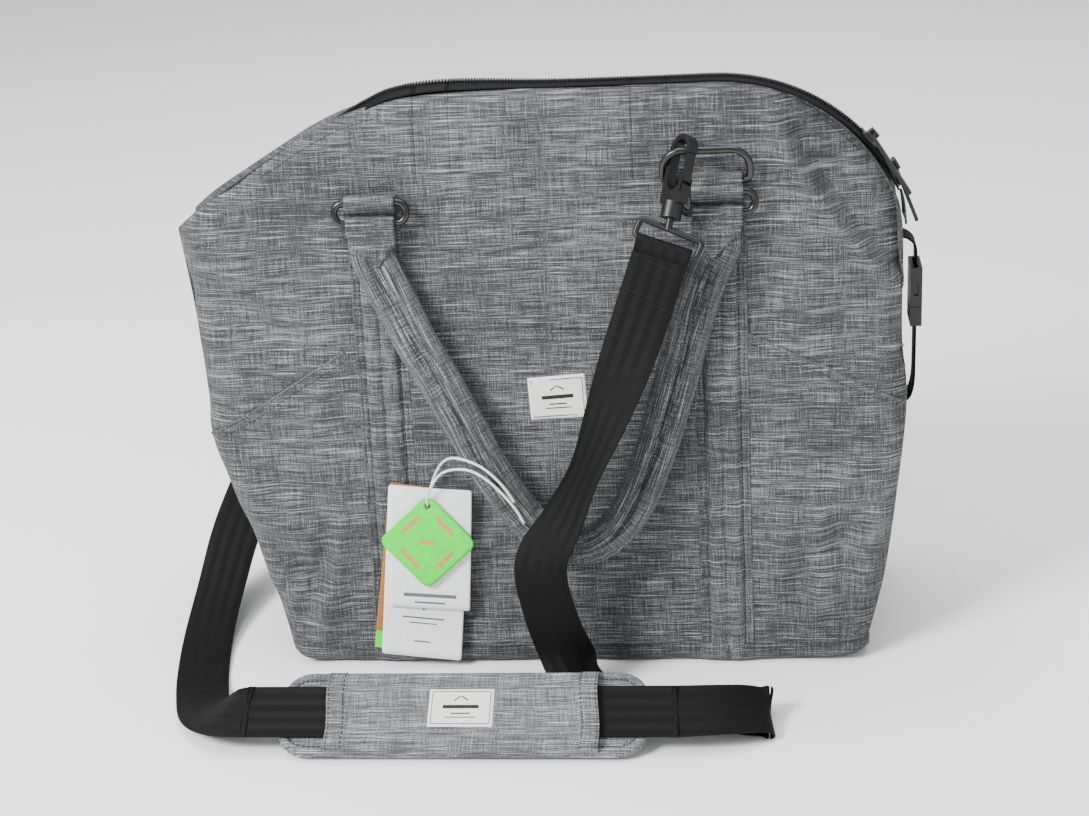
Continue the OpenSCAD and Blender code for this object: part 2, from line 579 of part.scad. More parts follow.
base_panel();
base_board();
front_panel();
back_panel();
left_gusset();
right_gusset();
lining();
zip_ends();
zip_end_tabs();
front_lip();
front_zip_tape();
front_zip_coil();
back_lip();
back_zip_tape();
back_zip_coil();
front_pocket();
left_side_pocket();
right_side_pocket();
front_strip_left();
front_strip_right();
back_strips();
bag_label();
inner_pocket();
slider_upper();
slider_lower();
pull_upper();
pull_lower();
front_ring_left();
front_ring_right();
back_ring_left();
back_ring_right();
front_handle();
back_handle();
front_handle_tabs();
back_handle_tabs();
front_dee_ring();
back_dee_ring();
front_hook_body();
front_hook_gate();
front_hook_eye();
back_hook_body();
back_hook_gate();
back_hook_eye();
strap_front_run();
strap_pad_run();
strap_back_run();
strap_adjuster();
pad_base();
pad_sleeve();
pad_label();
right_buckle_socket();
right_buckle_plug();
left_buckle_socket();
left_buckle_plug();
side_straps();
kraft_tag();
large_card();
small_card();
green_tag();
tag_string();
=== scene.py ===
"""A soft weekender diaper bag with a clipped shoulder strap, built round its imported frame."""
import math

import bmesh
import bpy
import numpy as np
from mathutils import Matrix


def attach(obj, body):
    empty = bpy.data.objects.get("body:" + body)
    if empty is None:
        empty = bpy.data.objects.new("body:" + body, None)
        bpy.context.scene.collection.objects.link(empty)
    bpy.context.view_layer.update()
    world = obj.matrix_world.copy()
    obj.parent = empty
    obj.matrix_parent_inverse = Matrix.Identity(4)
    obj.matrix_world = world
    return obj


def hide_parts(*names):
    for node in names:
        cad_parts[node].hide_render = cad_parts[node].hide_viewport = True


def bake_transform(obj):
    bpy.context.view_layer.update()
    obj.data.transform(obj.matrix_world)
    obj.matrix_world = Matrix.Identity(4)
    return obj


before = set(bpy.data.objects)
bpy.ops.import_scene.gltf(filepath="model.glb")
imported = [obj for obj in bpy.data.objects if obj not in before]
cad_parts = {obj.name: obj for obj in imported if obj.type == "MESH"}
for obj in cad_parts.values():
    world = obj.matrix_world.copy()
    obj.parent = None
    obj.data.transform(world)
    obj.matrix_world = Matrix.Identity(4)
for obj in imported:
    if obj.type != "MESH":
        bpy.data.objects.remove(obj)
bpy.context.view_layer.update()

# ---------- Camera ----------
# A standing viewer's camera looks down on the front from a little to the right, slightly tilted.
camera_place = np.array([0.1397, -1.2387, 0.7188])
camera_target = np.array([-0.005, -0.060, 0.190])
camera_roll = math.radians(4)
ahead = (camera_target - camera_place) / np.linalg.norm(camera_target - camera_place)
level = np.cross(ahead, [0, 0, 1])
level /= np.linalg.norm(level)
upright = np.cross(level, ahead)
turned_right = level * math.cos(camera_roll) - upright * math.sin(camera_roll)
turned_up = upright * math.cos(camera_roll) + level * math.sin(camera_roll)
camera = bpy.data.objects.new("camera", bpy.data.cameras.new("camera"))
camera.data.lens = 61.9
camera.data.sensor_width = 36
camera_matrix = np.eye(4)
camera_matrix[:3, 0], camera_matrix[:3, 1], camera_matrix[:3, 2] = turned_right, turned_up, -ahead
camera_matrix[:3, 3] = camera_place
camera.matrix_world = Matrix(camera_matrix.tolist())
bpy.context.scene.collection.objects.link(camera)
bpy.context.scene.camera = camera


# ---------- Tag string ----------
# A loose white string, looped over the front handle and through the tags' holes.
# It is a round elastic cord, 1.8 mm thick, knotted behind the handle.
def linear(code):
    """Linear colour of an sRGB hex code, by the sRGB curve."""
    parts = np.array([int(code[i:i + 2], 16) for i in (1, 3, 5)]) / 255
    parts = np.where(parts <= 0.04045, parts / 12.92, ((parts + 0.055) / 1.055) ** 2.4)
    return (*parts.tolist(), 1.0)


def add(tree, kind, settings=(), links=()):
    """One node: lower-case settings are its properties, the others its sockets, and links feed sockets."""
    made = tree.nodes.new(kind)
    for key, value in dict(settings).items():
        if isinstance(key, str) and key[0].islower():
            setattr(made, key, value)
        else:
            made.inputs[key].default_value = value
    for key, source in dict(links).items():
        tree.links.new(source, made.inputs[key])
    return made


def finish_of(name, shader_settings):
    """A material with one Principled shader; returns the material, its tree and the shader."""
    material = bpy.data.materials.new(name)
    material.use_nodes = True
    tree = material.node_tree
    tree.nodes.clear()
    shader = add(tree, "ShaderNodeBsdfPrincipled", shader_settings)
    add(tree, "ShaderNodeOutputMaterial", links={"Surface": shader.outputs[0]})
    return material, tree, shader


def catmull(stations, steps):
    """Catmull-Rom curve through the stations, with that many steps in each span and the ends doubled."""
    p = np.asarray(stations, float)
    padded = np.vstack([p[:1], p, p[-1:]])
    t = (np.arange(steps) / steps)[None, :, None]
    a, b, c, d = (padded[k:k + len(p) - 1, None, :] for k in range(4))
    curve = 0.5 * (2 * b + (c - a) * t + (2 * a - 5 * b + 4 * c - d) * t ** 2 + (3 * b - a - 3 * c + d)
                   * t ** 3)
    return np.vstack([curve.reshape(-1, p.shape[1]), p[-1:]])


def unit(v):
    return v / np.linalg.norm(v, axis=-1, keepdims=True)


def directions(p):
    """Unit tangents of a polyline, each from the point before to the point after."""
    ends = np.vstack([p[:1], p, p[-1:]])
    return unit(ends[2:] - ends[:-2])


def run_length(p):
    """Distance along a polyline to each of its points."""
    return np.concatenate([[0], np.cumsum(np.linalg.norm(np.diff(p, axis=0), axis=1))])


def surface(name, points, uv, wrap=False, caps=False, flip=False):
    """A smooth mesh over a grid of points in millimetres, rows by columns.

    Each face joins two rows and two columns; wrap joins the last column to the first, and caps close
    the first and last rows. uv holds the cloth's own flat coordinates in metres, one column more with wrap.
    """
    rows, cols = points.shape[:2]
    index = np.arange(rows * cols).reshape(rows, cols)
    marks = np.arange(rows * uv.shape[1]).reshape(rows, uv.shape[1])
    if wrap:
        index = np.hstack([index, index[:, :1]])
    quads, corners = (np.stack([g[:-1, :-1], g[:-1, 1:], g[1:, 1:], g[1:, :-1]], -1).reshape(-1, 4)
                      for g in (index, marks))
    if flip:
        quads, corners = quads[:, ::-1], corners[:, ::-1]
    faces = quads.tolist()
    flat_uv = uv.reshape(-1, 2)[corners.ravel()]
    if caps:
        for ring in (index[0, :cols][::-1], index[-1, :cols]):
            faces.append((ring[::-1] if flip else ring).tolist())
            flat_uv = np.vstack([flat_uv, np.zeros((cols, 2))])
    mesh = bpy.data.meshes.new(name)
    mesh.from_pydata((points.reshape(-1, 3) * 0.001).tolist(), [], faces)
    mesh.polygons.foreach_set("use_smooth", np.ones(len(faces), bool))
    mesh.uv_layers.new(name="cloth").data.foreach_set("uv", flat_uv.ravel())
    mesh.update()
    piece = bpy.data.objects.new(name, mesh)
    bpy.context.scene.collection.objects.link(piece)
    return piece


def tube(name, path, radius, sides=10):
    """A round cord along a path: each ring stands across the tangent; radius may change along it."""
    f = directions(path)
    u = unit(np.cross(f, [0.3, 0.2, -1.0]))
    v = np.cross(f, u)
    angle = np.linspace(0, 2 * np.pi, sides, endpoint=False)
    r = np.broadcast_to(radius, (len(path),))[:, None, None]
    points = path[:, None] + r * (np.cos(angle)[None, :, None] * u[:, None] + np.sin(angle)[None, :,
            None] * v[:, None])
    around = np.linspace(0, 2 * np.pi * float(np.mean(radius)), sides + 1) * 0.001
    uv = np.stack(np.meshgrid(around, run_length(path) * 0.001), -1)
    return surface(name, points, uv, wrap=True, caps=True)


def fit(piece, material, body, *nodes, slot=None):
    """The piece takes its material, rides on its body if given one, and stands for its frame nodes."""
    piece.data.materials.append(material)
    if body:
        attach(piece, body)
    if nodes:
        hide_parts(*nodes)
    return piece


LEAN = math.atan(70 / 404)


def on_front(points):
    """From the front panel's frame (across, inward, up the panel) to the bag's, both in millimetres."""
    p = np.asarray(points, float)
    y, s = p[..., 1], p[..., 2]
    return np.stack([p[..., 0], -85 + y * math.cos(LEAN) + s * math.sin(LEAN),
                     -y * math.sin(LEAN) + s * math.cos(LEAN)], -1)


# Braided polyester over elastic: matt, with a fine spiral that catches the light.
string_white, tree, shader = finish_of("white_string", {"Roughness": 0.75, "Base Color": linear("#f1f1ec")})
uv_node = add(tree, "ShaderNodeUVMap", {"uv_map": "cloth"})
string_twist = add(tree, "ShaderNodeMapping", {"Scale": (2200, 1100, 1), "Rotation": (0, 0, 0.6)},
                   {"Vector": uv_node.outputs[0]})
braid = add(tree, "ShaderNodeTexWave", {"Scale": 0.314}, {"Vector": string_twist.outputs[0]})
braid_tone = add(tree, "ShaderNodeValToRGB", links={"Fac": braid.outputs["Fac"]})
braid_tone.color_ramp.elements[0].color = linear("#d9d9d2")
braid_tone.color_ramp.elements[1].color = linear("#f7f7f3")
braid_bump = add(tree, "ShaderNodeBump", {"Strength": 0.5, "Distance": 0.0003},
                 {"Height": braid.outputs["Fac"]})
tree.links.new(braid_tone.outputs[0], shader.inputs["Base Color"])
tree.links.new(braid_bump.outputs[0], shader.inputs["Normal"])

string_stations = [[-20, -33.8, 116], [-28, -34, 130], [-44, -32.8, 147], [-60, -29, 154], [-78, -20, 149],
                   [-89, -14.5, 134], [-91, -13, 125], [-91, -8, 122], [-91, -5.9, 126], [-87, -6.4, 140],
                   [-79, -12, 154], [-66, -31, 163], [-48, -36, 158], [-34, -36.4, 145], [-26, -35.4, 132]]
string_path = on_front(catmull(string_stations, 4))
tag_string = fit(tube("tag_string_loop", string_path, 0.9), string_white, "tags", "tag_string",
                 slot="string")


# ---------- Hang tags ----------
# Four printed tags on one string: a kraft card, two coated white cards and a green plastic diamond.
# Die-cut from 0.4 to 1.5 mm sheet with a punched hole; the cards curl a little.
def plate(name, outline, bend, hole=2.6, thick=0.6, rings=26):
    """A punched plate: rows run from the round hole to the outline, both seen from the hole's middle.

    outline gives (across, up) points round the hole, and bend the distance outward at each point.
    """
    outline = np.asarray(outline, float)
    angle = np.arctan2(outline[:, 1], outline[:, 0])
    inner = hole * np.stack([np.cos(angle), np.sin(angle)], -1)
    k = (np.linspace(0, 1, rings) ** 1.2)[:, None, None]
    flat = inner[None] * (1 - k) + outline[None] * k
    flat = np.concatenate([flat, flat[:, :1]], 1)
    points = np.stack([flat[..., 0], -bend(flat[..., 0], flat[..., 1]), flat[..., 1]], -1)
    made = surface(name, points[:, :-1], flat * 0.001, wrap=True, flip=True)
    wall = made.modifiers.new("thickness", "SOLIDIFY")
    wall.thickness = thick * 0.001
    wall.offset = -1
    return made


def rectangle_round(width, height, top, shift, steps=24, corner=1.5):
    """Outline of a card with small round corners, as (across, up) points counter-clockwise."""
    half = width / 2 - corner
    corners = [(half, top - corner, 0), (-half, top - corner, 90), (-half, top - height + corner, 180),
               (half, top - height + corner, 270)]
    points = []
    for x, z, start in corners:
        a = np.radians(start + np.linspace(0, 90, 6))
        points.append(np.stack([x + shift + corner * np.cos(a), z + corner * np.sin(a)], -1))
    ring = np.vstack(points + [points[0][:1]])
    at = run_length(ring)
    even = np.linspace(0, at[-1], steps * 8, endpoint=False)
    return np.stack([np.interp(even, at, ring[:, k]) for k in (0, 1)], -1)


def place_tag(piece, out, turn):
    """Turns a flat tag about its hole, then sets it on the front panel's frame."""
    count = len(piece.data.vertices)
    co = np.empty(count * 3)
    piece.data.vertices.foreach_get("co", co)
    p = co.reshape(-1, 3) * 1000
    a = math.radians(turn)
    x, z = p[:, 0] * math.cos(a) + p[:, 2] * math.sin(a), -p[:, 0] * math.sin(a) + p[:, 2] * math.cos(a)
    placed = on_front(np.stack([x - 91, p[:, 1] - out, z + 123], -1)) * 0.001
    piece.data.vertices.foreach_set("co", placed.ravel())
    piece.data.update()
    return piece


def paper(name, low, high, roughness, fibre):
    """Card stock: two close tones mottled at the fibre length, with a soft tooth."""
    material, tree, shader = finish_of(name, {"Roughness": roughness})
    coords = add(tree, "ShaderNodeTexCoord")
    grain = add(tree, "ShaderNodeTexNoise", {"Scale": 1 / fibre, "Detail": 4.0},
                {"Vector": coords.outputs["Object"]})
    tone = add(tree, "ShaderNodeValToRGB", links={"Fac": grain.outputs["Fac"]})
    tone.color_ramp.elements[0].position = 0.35
    tone.color_ramp.elements[0].color = linear(low)
    tone.color_ramp.elements[1].position = 0.65
    tone.color_ramp.elements[1].color = linear(high)
    tooth = add(tree, "ShaderNodeBump", {"Strength": 0.15, "Distance": 0.0002},
                {"Height": grain.outputs["Fac"]})
    tree.links.new(tone.outputs[0], shader.inputs["Base Color"])
    tree.links.new(tooth.outputs[0], shader.inputs["Normal"])
    return material


kraft_board = paper("kraft_board", "#94602c", "#a87038", 0.85, 0.0012)
coated_card = paper("coated_white_card", "#ececf0", "#f6f6f9", 0.45, 0.003)
green_plastic = paper("fluorescent_green_plastic", "#00e412", "#08f41c", 0.38, 0.004)
tan_ink = paper("tan_ink", "#b98743", "#c9974f", 0.6, 0.002)
grey_ink = paper("grey_ink", "#5a5c60", "#6a6c70", 0.6, 0.002)


def strips_of(name, rectangles, out, bend=None):
    """Thin printed bars: each is (middle x, middle z, width, height, turn) and lies out from the sheet."""
    verts, faces = [], []
    for x, z, w, h, turn in rectangles:
        a = math.radians(turn)
        first = len(verts)
        for layer in (0.0, 0.12):
            for i, j in ((-1, -1), (1, -1), (1, 1), (-1, 1)):
                px = x + i * w / 2 * math.cos(a) - j * h / 2 * math.sin(a)
                pz = z + i * w / 2 * math.sin(a) + j * h / 2 * math.cos(a)
                base = bend(px, pz) if bend else 0.0
                verts.append((px * 0.001, -(base + out + layer) * 0.001, pz * 0.001))
        b, t = first, first + 4
        faces += [(b + 3, b + 2, b + 1, b), (t, t + 1, t + 2, t + 3)]
        faces += [(b + k, b + (k + 1) % 4, t + (k + 1) % 4, t + k) for k in range(4)]
    mesh = bpy.data.meshes.new(name)
    mesh.from_pydata(verts, [], faces)
    mesh.update()
    made = bpy.data.objects.new(name, mesh)
    bpy.context.scene.collection.objects.link(made)
    return made


def kraft_curl(x, z):
    return 0.25 * ((z + 50) / 60) ** 2 + 0 * x


def large_curl(x, z):
    return 0.3 * ((z + 55) / 60) ** 2 + 0 * x


def small_curl(x, z):
    return 0.9 * np.maximum(0, -(z + 10) / 68) ** 2 + 0 * x


def no_curl(x, z):
    return 0 * x + 0 * z


kraft_tag = place_tag(plate("kraft_card", rectangle_round(54, 126, 12, -2), kraft_curl), 7.4, 9)
large_card = place_tag(plate("large_white_card", rectangle_round(58, 128, 12, 0), large_curl), 8.4, 6)
small_card = place_tag(plate("small_white_card", rectangle_round(58, 90, 12, 2), small_curl), 9.4, 4)
tags = [fit(kraft_tag, kraft_board, "tags", "kraft_tag", slot="kraft_card"),
        fit(large_card, coated_card, "tags", "large_card", slot="white_card"),
        fit(small_card, coated_card, "tags", "small_card", slot="white_card")]
diamond_edge = rectangle_round(50, 50, 25, 0, corner=6)
diagonal = math.sqrt(0.5)
diamond_edge = np.stack([(diamond_edge[:, 0] - diamond_edge[:, 1]) * diagonal,
                         (diamond_edge[:, 0] + diamond_edge[:, 1]) * diagonal - 27], -1)
green_tag = place_tag(plate("green_diamond", diamond_edge, no_curl, thick=1.5), 13.5, 3)
tags.append(fit(green_tag, green_plastic, "tags", "green_tag", slot="green_card"))
diamond_dashes = [(s * 12.5, -27 + t * 12.5, 17, 3.2, -45 * s * t) for s in (-1, 1) for t in (-1, 1)]
diamond_print = place_tag(strips_of("green_diamond_print", diamond_dashes + [(0, -27, 12, 2.6, 0)], 0.02),
                          13.5, 3)
tags.append(fit(diamond_print, tan_ink, "tags", slot="kraft_card"))
kraft_foot = [(-2, -107, 53.4, 12.4, 0)]
tags.append(fit(place_tag(strips_of("kraft_card_print", kraft_foot, 0.02, kraft_curl), 7.4, 9),
                green_plastic,
                "tags", slot="green_card"))
card_lines = [(0, -86, 30, 1.2, 0), (0, -104, 12, 1.0, 0), (0, -90, 20, 0.9, 0), (0, -78, 3.4, 3.4, 45)]
tags.append(fit(place_tag(strips_of("large_card_print", card_lines, 0.02, large_curl), 8.4, 6), grey_ink,
                "tags", slot="white_card"))
small_lines = [(2, -68, 38, 2.6, 0), (2, -73.4, 22, 1.4, 0)]
tags.append(fit(place_tag(strips_of("small_card_print", small_lines, 0.02, small_curl), 9.4, 4), grey_ink,
                "tags", slot="white_card"))

# ---------- Shoulder strap ----------
# One length of black polypropylene webbing, 38 mm wide: from the front hook down in front of the bag,
# over the floor, through the pad's sleeve, round the left side and up to the back hook.
strap_stations = [
    [79.8, -70, 301.6, 0.91, -0.2, -0.35], [72, -76, 280, 0.91, -0.15, -0.38],
                  [58, -85, 242, 0.88, -0.3, -0.36],
    [41, -95, 200, 0.7, -0.65, -0.25], [24, -103, 160, 0.5, -0.86, -0.1], [8, -111, 128, 0.75, -0.65, 0],
    [-8, -118, 98, 0.96, -0.2, 0.15], [-4, -122, 64, 0.97, -0.1, 0.2], [6, -126, 34, 0.97, 0.1, 0.2],
    [18, -132, 13, 0.62, 0.78, 0], [40, -138, 2.2, 0.3, 0.95, 0], [70, -144, 1.2, 0.2, 0.98, 0],
    [104, -154, 1.4, 0.15, 0.99, 0], [134, -162, 3, 0.1, 0.99, 0.05], [146, -167, 10.4, 0, 0.98, 0.2],
    [136, -173, 17.5, 0, 0.95, 0.3], [114, -181, 22, 0, 0.9, 0.43], [84, -184.5, 23, 0, 0.866, 0.5],
    [60, -184.5, 23, 0, 0.866, 0.5], [-184, -184.5, 23, 0, 0.866, 0.5], [-208, -184.5, 23, 0, 0.866, 0.5],
    [-228, -180, 19, 0.3, 0.9, 0.35], [-246, -160, 9, 0.66, 0.74, 0.1], [-258, -126, 2, 0.92, 0.38, 0],
    [-266, -92, 1.4, 0.98, 0.15, 0], [-272, -50, 6, 1, 0, 0], [-272, -4, 22, 1, 0, 0],
    [-264, 40, 54, 0.95, 0, -0.2], [-238, 82, 104, 0.85, 0, -0.45], [-204, 92, 148, 0.774, -0.136, -0.618],
    [-170, 86, 192, 0.774, -0.136, -0.618], [-136, 80, 236, 0.774, -0.1, -0.618],
    [-103, 76, 276, 0.9, 0.05, -0.42], [-84.9, 70.5, 298.8, 0.95, 0.15, -0.27]]
STRAP_FOLD, STRAP_FLOOR = 14, 23
WEBBING_WIDTH, WEBBING_THICK = 38, 1.5


def ribbon(name, centre, width_way, width, thick, across=10):
    """A flat woven band: its section is two flat faces with round selvedges, stood across the path."""
    f = directions(centre)
    u = unit(width_way - f * np.sum(width_way * f, -1, keepdims=True))
    v = np.cross(f, u)
    side = np.linspace(-1, 1, across)
    flat = side * (width / 2 - thick / 2)
    bend = np.radians(np.linspace(-60, 60, 5))
    end = width / 2 - thick / 2
    section = np.vstack([
        np.stack([flat, np.full(across, -thick / 2)], -1),
        np.stack([end + thick / 2 * np.cos(bend), thick / 2 * np.sin(bend)], -1),
        np.stack([flat[::-1], np.full(across, thick / 2)], -1),
        np.stack([-end - thick / 2 * np.cos(bend), -thick / 2 * np.sin(bend)], -1)])
    points = centre[:, None] + section[None, :, :1] * u[:, None] + section[None, :, 1:] * v[:, None]
    ring = np.vstack([section, section[:1]])
    uv = np.stack(np.meshgrid(ring[:, 0] * 0.001, run_length(centre) * 0.001), -1)
    return surface(name, points, uv, wrap=True, caps=True)


# Black polypropylene webbing: a herringbone of ribs about 1.6 mm apart, drawn a little coarse to show,
# between two firm selvedges; the filament yarn has a low satin gloss.
def webbing_finish(name, half_width, dark, light):
    material, tree, shader = finish_of(name, {"Roughness": 0.6, "Specular IOR Level": 0.16})
    uv_node = add(tree, "ShaderNodeUVMap", {"uv_map": "cloth"})
    parts = add(tree, "ShaderNodeSeparateXYZ", links={"Vector": uv_node.outputs[0]})
    chevron = add(tree, "ShaderNodeMath", {"operation": "PINGPONG", 1: 0.0045}, {0: parts.outputs["X"]})
    slant = add(tree, "ShaderNodeMath", {"operation": "ADD"},
                {0: chevron.outputs[0], 1: parts.outputs["Y"]})
    ribs = add(tree, "ShaderNodeMath", {"operation": "MULTIPLY", 1: 2 * math.pi / 0.0017},
               {0: slant.outputs[0]})
    rib = add(tree, "ShaderNodeMath", {"operation": "SINE"}, {0: ribs.outputs[0]})
    edge = add(tree, "ShaderNodeMath", {"operation": "ABSOLUTE"}, {0: parts.outputs["X"]})
    selvedge = add(tree, "ShaderNodeMath", {"operation": "GREATER_THAN", 1: half_width - 0.0016},
                   {0: edge.outputs[0]})
    fuzz = add(tree, "ShaderNodeTexNoise", {"Scale": 900.0, "Detail": 3.0}, {"Vector": uv_node.outputs[0]})
    height = add(tree, "ShaderNodeMath", {"operation": "MULTIPLY_ADD", 1: 0.5},
                 {0: rib.outputs[0], 2: fuzz.outputs["Fac"]})
    raised = add(tree, "ShaderNodeMath", {"operation": "ADD"},
                 {0: height.outputs[0], 1: selvedge.outputs[0]})
    tone = add(tree, "ShaderNodeValToRGB", links={"Fac": height.outputs[0]})
    tone.color_ramp.elements[0].color = linear(dark)
    tone.color_ramp.elements[1].color = linear(light)
    bump = add(tree, "ShaderNodeBump", {"Strength": 0.5, "Distance": 0.0005}, {"Height": raised.outputs[0]})
    tree.links.new(tone.outputs[0], shader.inputs["Base Color"])
    tree.links.new(bump.outputs[0], shader.inputs["Normal"])
    return material


black_webbing = webbing_finish("black_polypropylene_webbing", 0.019, "#020202", "#0b0b0c")
strap_route = catmull(strap_stations, 10)
for part, first, last, node, hook in (
        ("strap_front_length", 0, STRAP_FOLD, "strap_front_run", "front_hook"),
        ("strap_pad_length", STRAP_FOLD, STRAP_FLOOR, "strap_pad_run", None),
        ("strap_back_length", STRAP_FLOOR, len(strap_stations) - 1, "strap_back_run", "back_hook")):
    run = strap_route[first * 10:last * 10 + 1]
    band = fit(ribbon(part, run[:, :3], run[:, 3:], WEBBING_WIDTH, WEBBING_THICK), black_webbing,
               None if hook else "bag", node, slot="webbing")
    if hook:
        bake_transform(band)


def eye_loop(side, route_end):
    """The webbing's sewn end: over the eye's bar, 3 mm in radius, then down behind, box-stitched."""
    turn = np.array([1, 1, 1]) if side == "front" else np.array([-1, -1, 1])
    bar = np.array([83.0, -67.4, 308.0]) * turn
    d = unit(route_end[12, :3] - route_end[0, :3])
    w = unit(route_end[0, 3:] - d * np.dot(route_end[0, 3:], d))
    out = np.cross(d, w)
    out = out if out[1] * turn[1] < 0 else -out
    start = route_end[0, :3] - bar
    ahead, off = np.dot(start, d), np.dot(start, out)
    turn_over = np.radians(np.linspace(25, 200, 12))
    hoop = np.stack([-3.1 * np.sin(turn_over), 3.1 * np.cos(turn_over)], -1)
    near = [(ahead, off), (ahead * 0.7, off * 0.4 + 1.7), (ahead * 0.35, 2.8)]
    behind = [(ahead * 0.5, -2.9), (ahead * 0.85, -2.3)]
    flat = np.vstack([near, hoop, behind])
    path = bar + flat[:, :1] * d + flat[:, 1:] * out + np.dot(start, w) * w
    tail = route_end[2:13:2, :3] - 1.75 * out
    path = np.vstack([path, tail])
    at = run_length(path)
    even = np.linspace(0, at[-1], 60)
    path = np.stack([np.interp(even, at, path[:, k]) for k in range(3)], -1)
    loop = ribbon(f"{side}_webbing_loop", path, np.broadcast_to(w, path.shape), WEBBING_WIDTH - 0.4,
                  WEBBING_THICK)
    fit(loop, black_webbing, f"{side}_eye", slot="webbing")
    low, high = route_end[12], route_end[3]
    u = unit(low[3:]) * 15.5
    lines = []
    for a, b in ((low[:3] - u, low[:3] + u), (low[:3] - u - d * 3.2, low[:3] + u - d * 3.2),
                 (high[:3] - u, high[:3] + u)):
        step = np.linspace(0, 1, 12)[:, None]
        lines.append((a * (1 - step) + b * step + out * 0.95, out))
    return lines


loop_lines = {"front": eye_loop("front", strap_route), "back": eye_loop("back", strap_route[::-1])}

# ---------- Strap pad ----------
# A foam pad bound at its edge, with a sleeve of the bag's own cloth sewn over it; the webbing runs between.
# Heathered polyester canvas: dark and pale yarns about 0.7 mm apart with slubs 10 to 40 mm long, most of
# them across the cloth; drawn a little coarse to show. Matt, with a faint fuzz at grazing angles.
def canvas(name, dark, middle, pale, contrast=0.8):
    material, tree, shader = finish_of(name, {"Roughness": 0.86, "Sheen Weight": 0.05,
                                              "Sheen Roughness": 0.5,
                                              "Specular IOR Level": 0.25})
    uv_node = add(tree, "ShaderNodeUVMap", {"uv_map": "cloth"})
    layers = [((40, 1700, 1), 0.0, 0.40), ((9, 1300, 1), 7.0, 0.20), ((1700, 60, 1), 3.0, 0.24),
              ((1200, 10, 1), 11.0, 0.10), ((900, 1600, 1), 17.0, 0.30), ((10, 14, 1), 5.0, 0.10)]
    total = None
    for scale, offset, share in layers:
        at = add(tree, "ShaderNodeMapping", {"Scale": scale, "Location": (offset, offset, 0)},
                 {"Vector": uv_node.outputs[0]})
        slub = add(tree, "ShaderNodeTexNoise", {"noise_dimensions": "2D", "Scale": 1.0, "Detail": 2.0,
                                                "Roughness": 0.65}, {"Vector": at.outputs[0]})
        centred = add(tree, "ShaderNodeMath", {"operation": "SUBTRACT", 1: 0.5}, {0: slub.outputs["Fac"]})
        part = add(tree, "ShaderNodeMath", {"operation": "MULTIPLY", 1: share * 2.1 * contrast},
                   {0: centred.outputs[0]})
        if total is None:
            total = part
        else:
            total = add(tree, "ShaderNodeMath", {"operation": "ADD"},
                        {0: total.outputs[0], 1: part.outputs[0]})
    slub_at = add(tree, "ShaderNodeMapping", {"Scale": (24, 950, 1), "Location": (31, 31, 0)},
                  {"Vector": uv_node.outputs[0]})
    thick_yarn = add(tree, "ShaderNodeTexNoise", {"noise_dimensions": "2D", "Scale": 1.0, "Detail": 1.0},
                     {"Vector": slub_at.outputs[0]})
    pale_slub = add(tree, "ShaderNodeMapRange", {1: 0.64, 2: 0.8, 3: 0.0, 4: 0.3 * contrast},
                    {0: thick_yarn.outputs["Fac"]})
    total = add(tree, "ShaderNodeMath", {"operation": "ADD"},
                {0: total.outputs[0], 1: pale_slub.outputs[0]})
    parts = add(tree, "ShaderNodeSeparateXYZ", links={"Vector": uv_node.outputs[0]})
    yarns = []
    for axis in ("X", "Y"):
        turns = add(tree, "ShaderNodeMath", {"operation": "MULTIPLY", 1: 2 * math.pi / 0.00125},
                    {0: parts.outputs[axis]})
        yarns.append(add(tree, "ShaderNodeMath", {"operation": "SINE"}, {0: turns.outputs[0]}))
    crossing = add(tree, "ShaderNodeMath", {"operation": "MULTIPLY"},
                   {0: yarns[0].outputs[0], 1: yarns[1].outputs[0]})
    tinted = add(tree, "ShaderNodeMath", {"operation": "MULTIPLY_ADD", 1: 0.07},
                 {0: crossing.outputs[0], 2: total.outputs[0]})
    fraction = add(tree, "ShaderNodeMath", {"operation": "ADD", 1: 0.5, "use_clamp": True},
                   {0: tinted.outputs[0]})
    tone = add(tree, "ShaderNodeValToRGB", links={"Fac": fraction.outputs[0]})
    tone.color_ramp.elements[0].position = 0.12
    tone.color_ramp.elements[0].color = linear(dark)
    tone.color_ramp.elements[1].position = 0.9
    tone.color_ramp.elements[1].color = linear(pale)
    tone.color_ramp.elements.new(0.5).color = linear(middle)
    height = add(tree, "ShaderNodeMath", {"operation": "MULTIPLY_ADD", 1: 0.5},
                 {0: crossing.outputs[0], 2: total.outputs[0]})
    bump = add(tree, "ShaderNodeBump", {"Strength": 0.35, "Distance": 0.0005},
               {"Height": height.outputs[0]})
    tree.links.new(tone.outputs[0], shader.inputs["Base Color"])
    tree.links.new(bump.outputs[0], shader.inputs["Normal"])
    return material


heather_canvas = canvas("heather_grey_canvas", "#0c0d0e", "#3c3e41", "#b0b2b5")
# A lighter copy of the same canvas: painted light for the pad and its sleeve, which lie flat facing the
# lamps.
heather_painted_light = canvas("heather_grey_canvas_painted_light", "#121416", "#575a5d", "#c8cacd")
# A darker copy of the same canvas: painted shade for the gussets, base, foot hems and zip end tabs, which
# sit back in shadow.
heather_painted_shade = canvas("heather_grey_canvas_painted_shade", "#0b0c0d", "#333538", "#9b9d9f")


def on_pad(points):
    """From the pad's frame (along, back, up off its foot) to the bag's, tilted 30 degrees in front."""
    p = np.asarray(points, float)
    c, s = math.cos(math.radians(30)), math.sin(math.radians(30))
    return np.stack([p[..., 0] - 60, p[..., 1] * c - p[..., 2] * s - 207,
                     p[..., 1] * s + p[..., 2] * c + 0.2], -1)


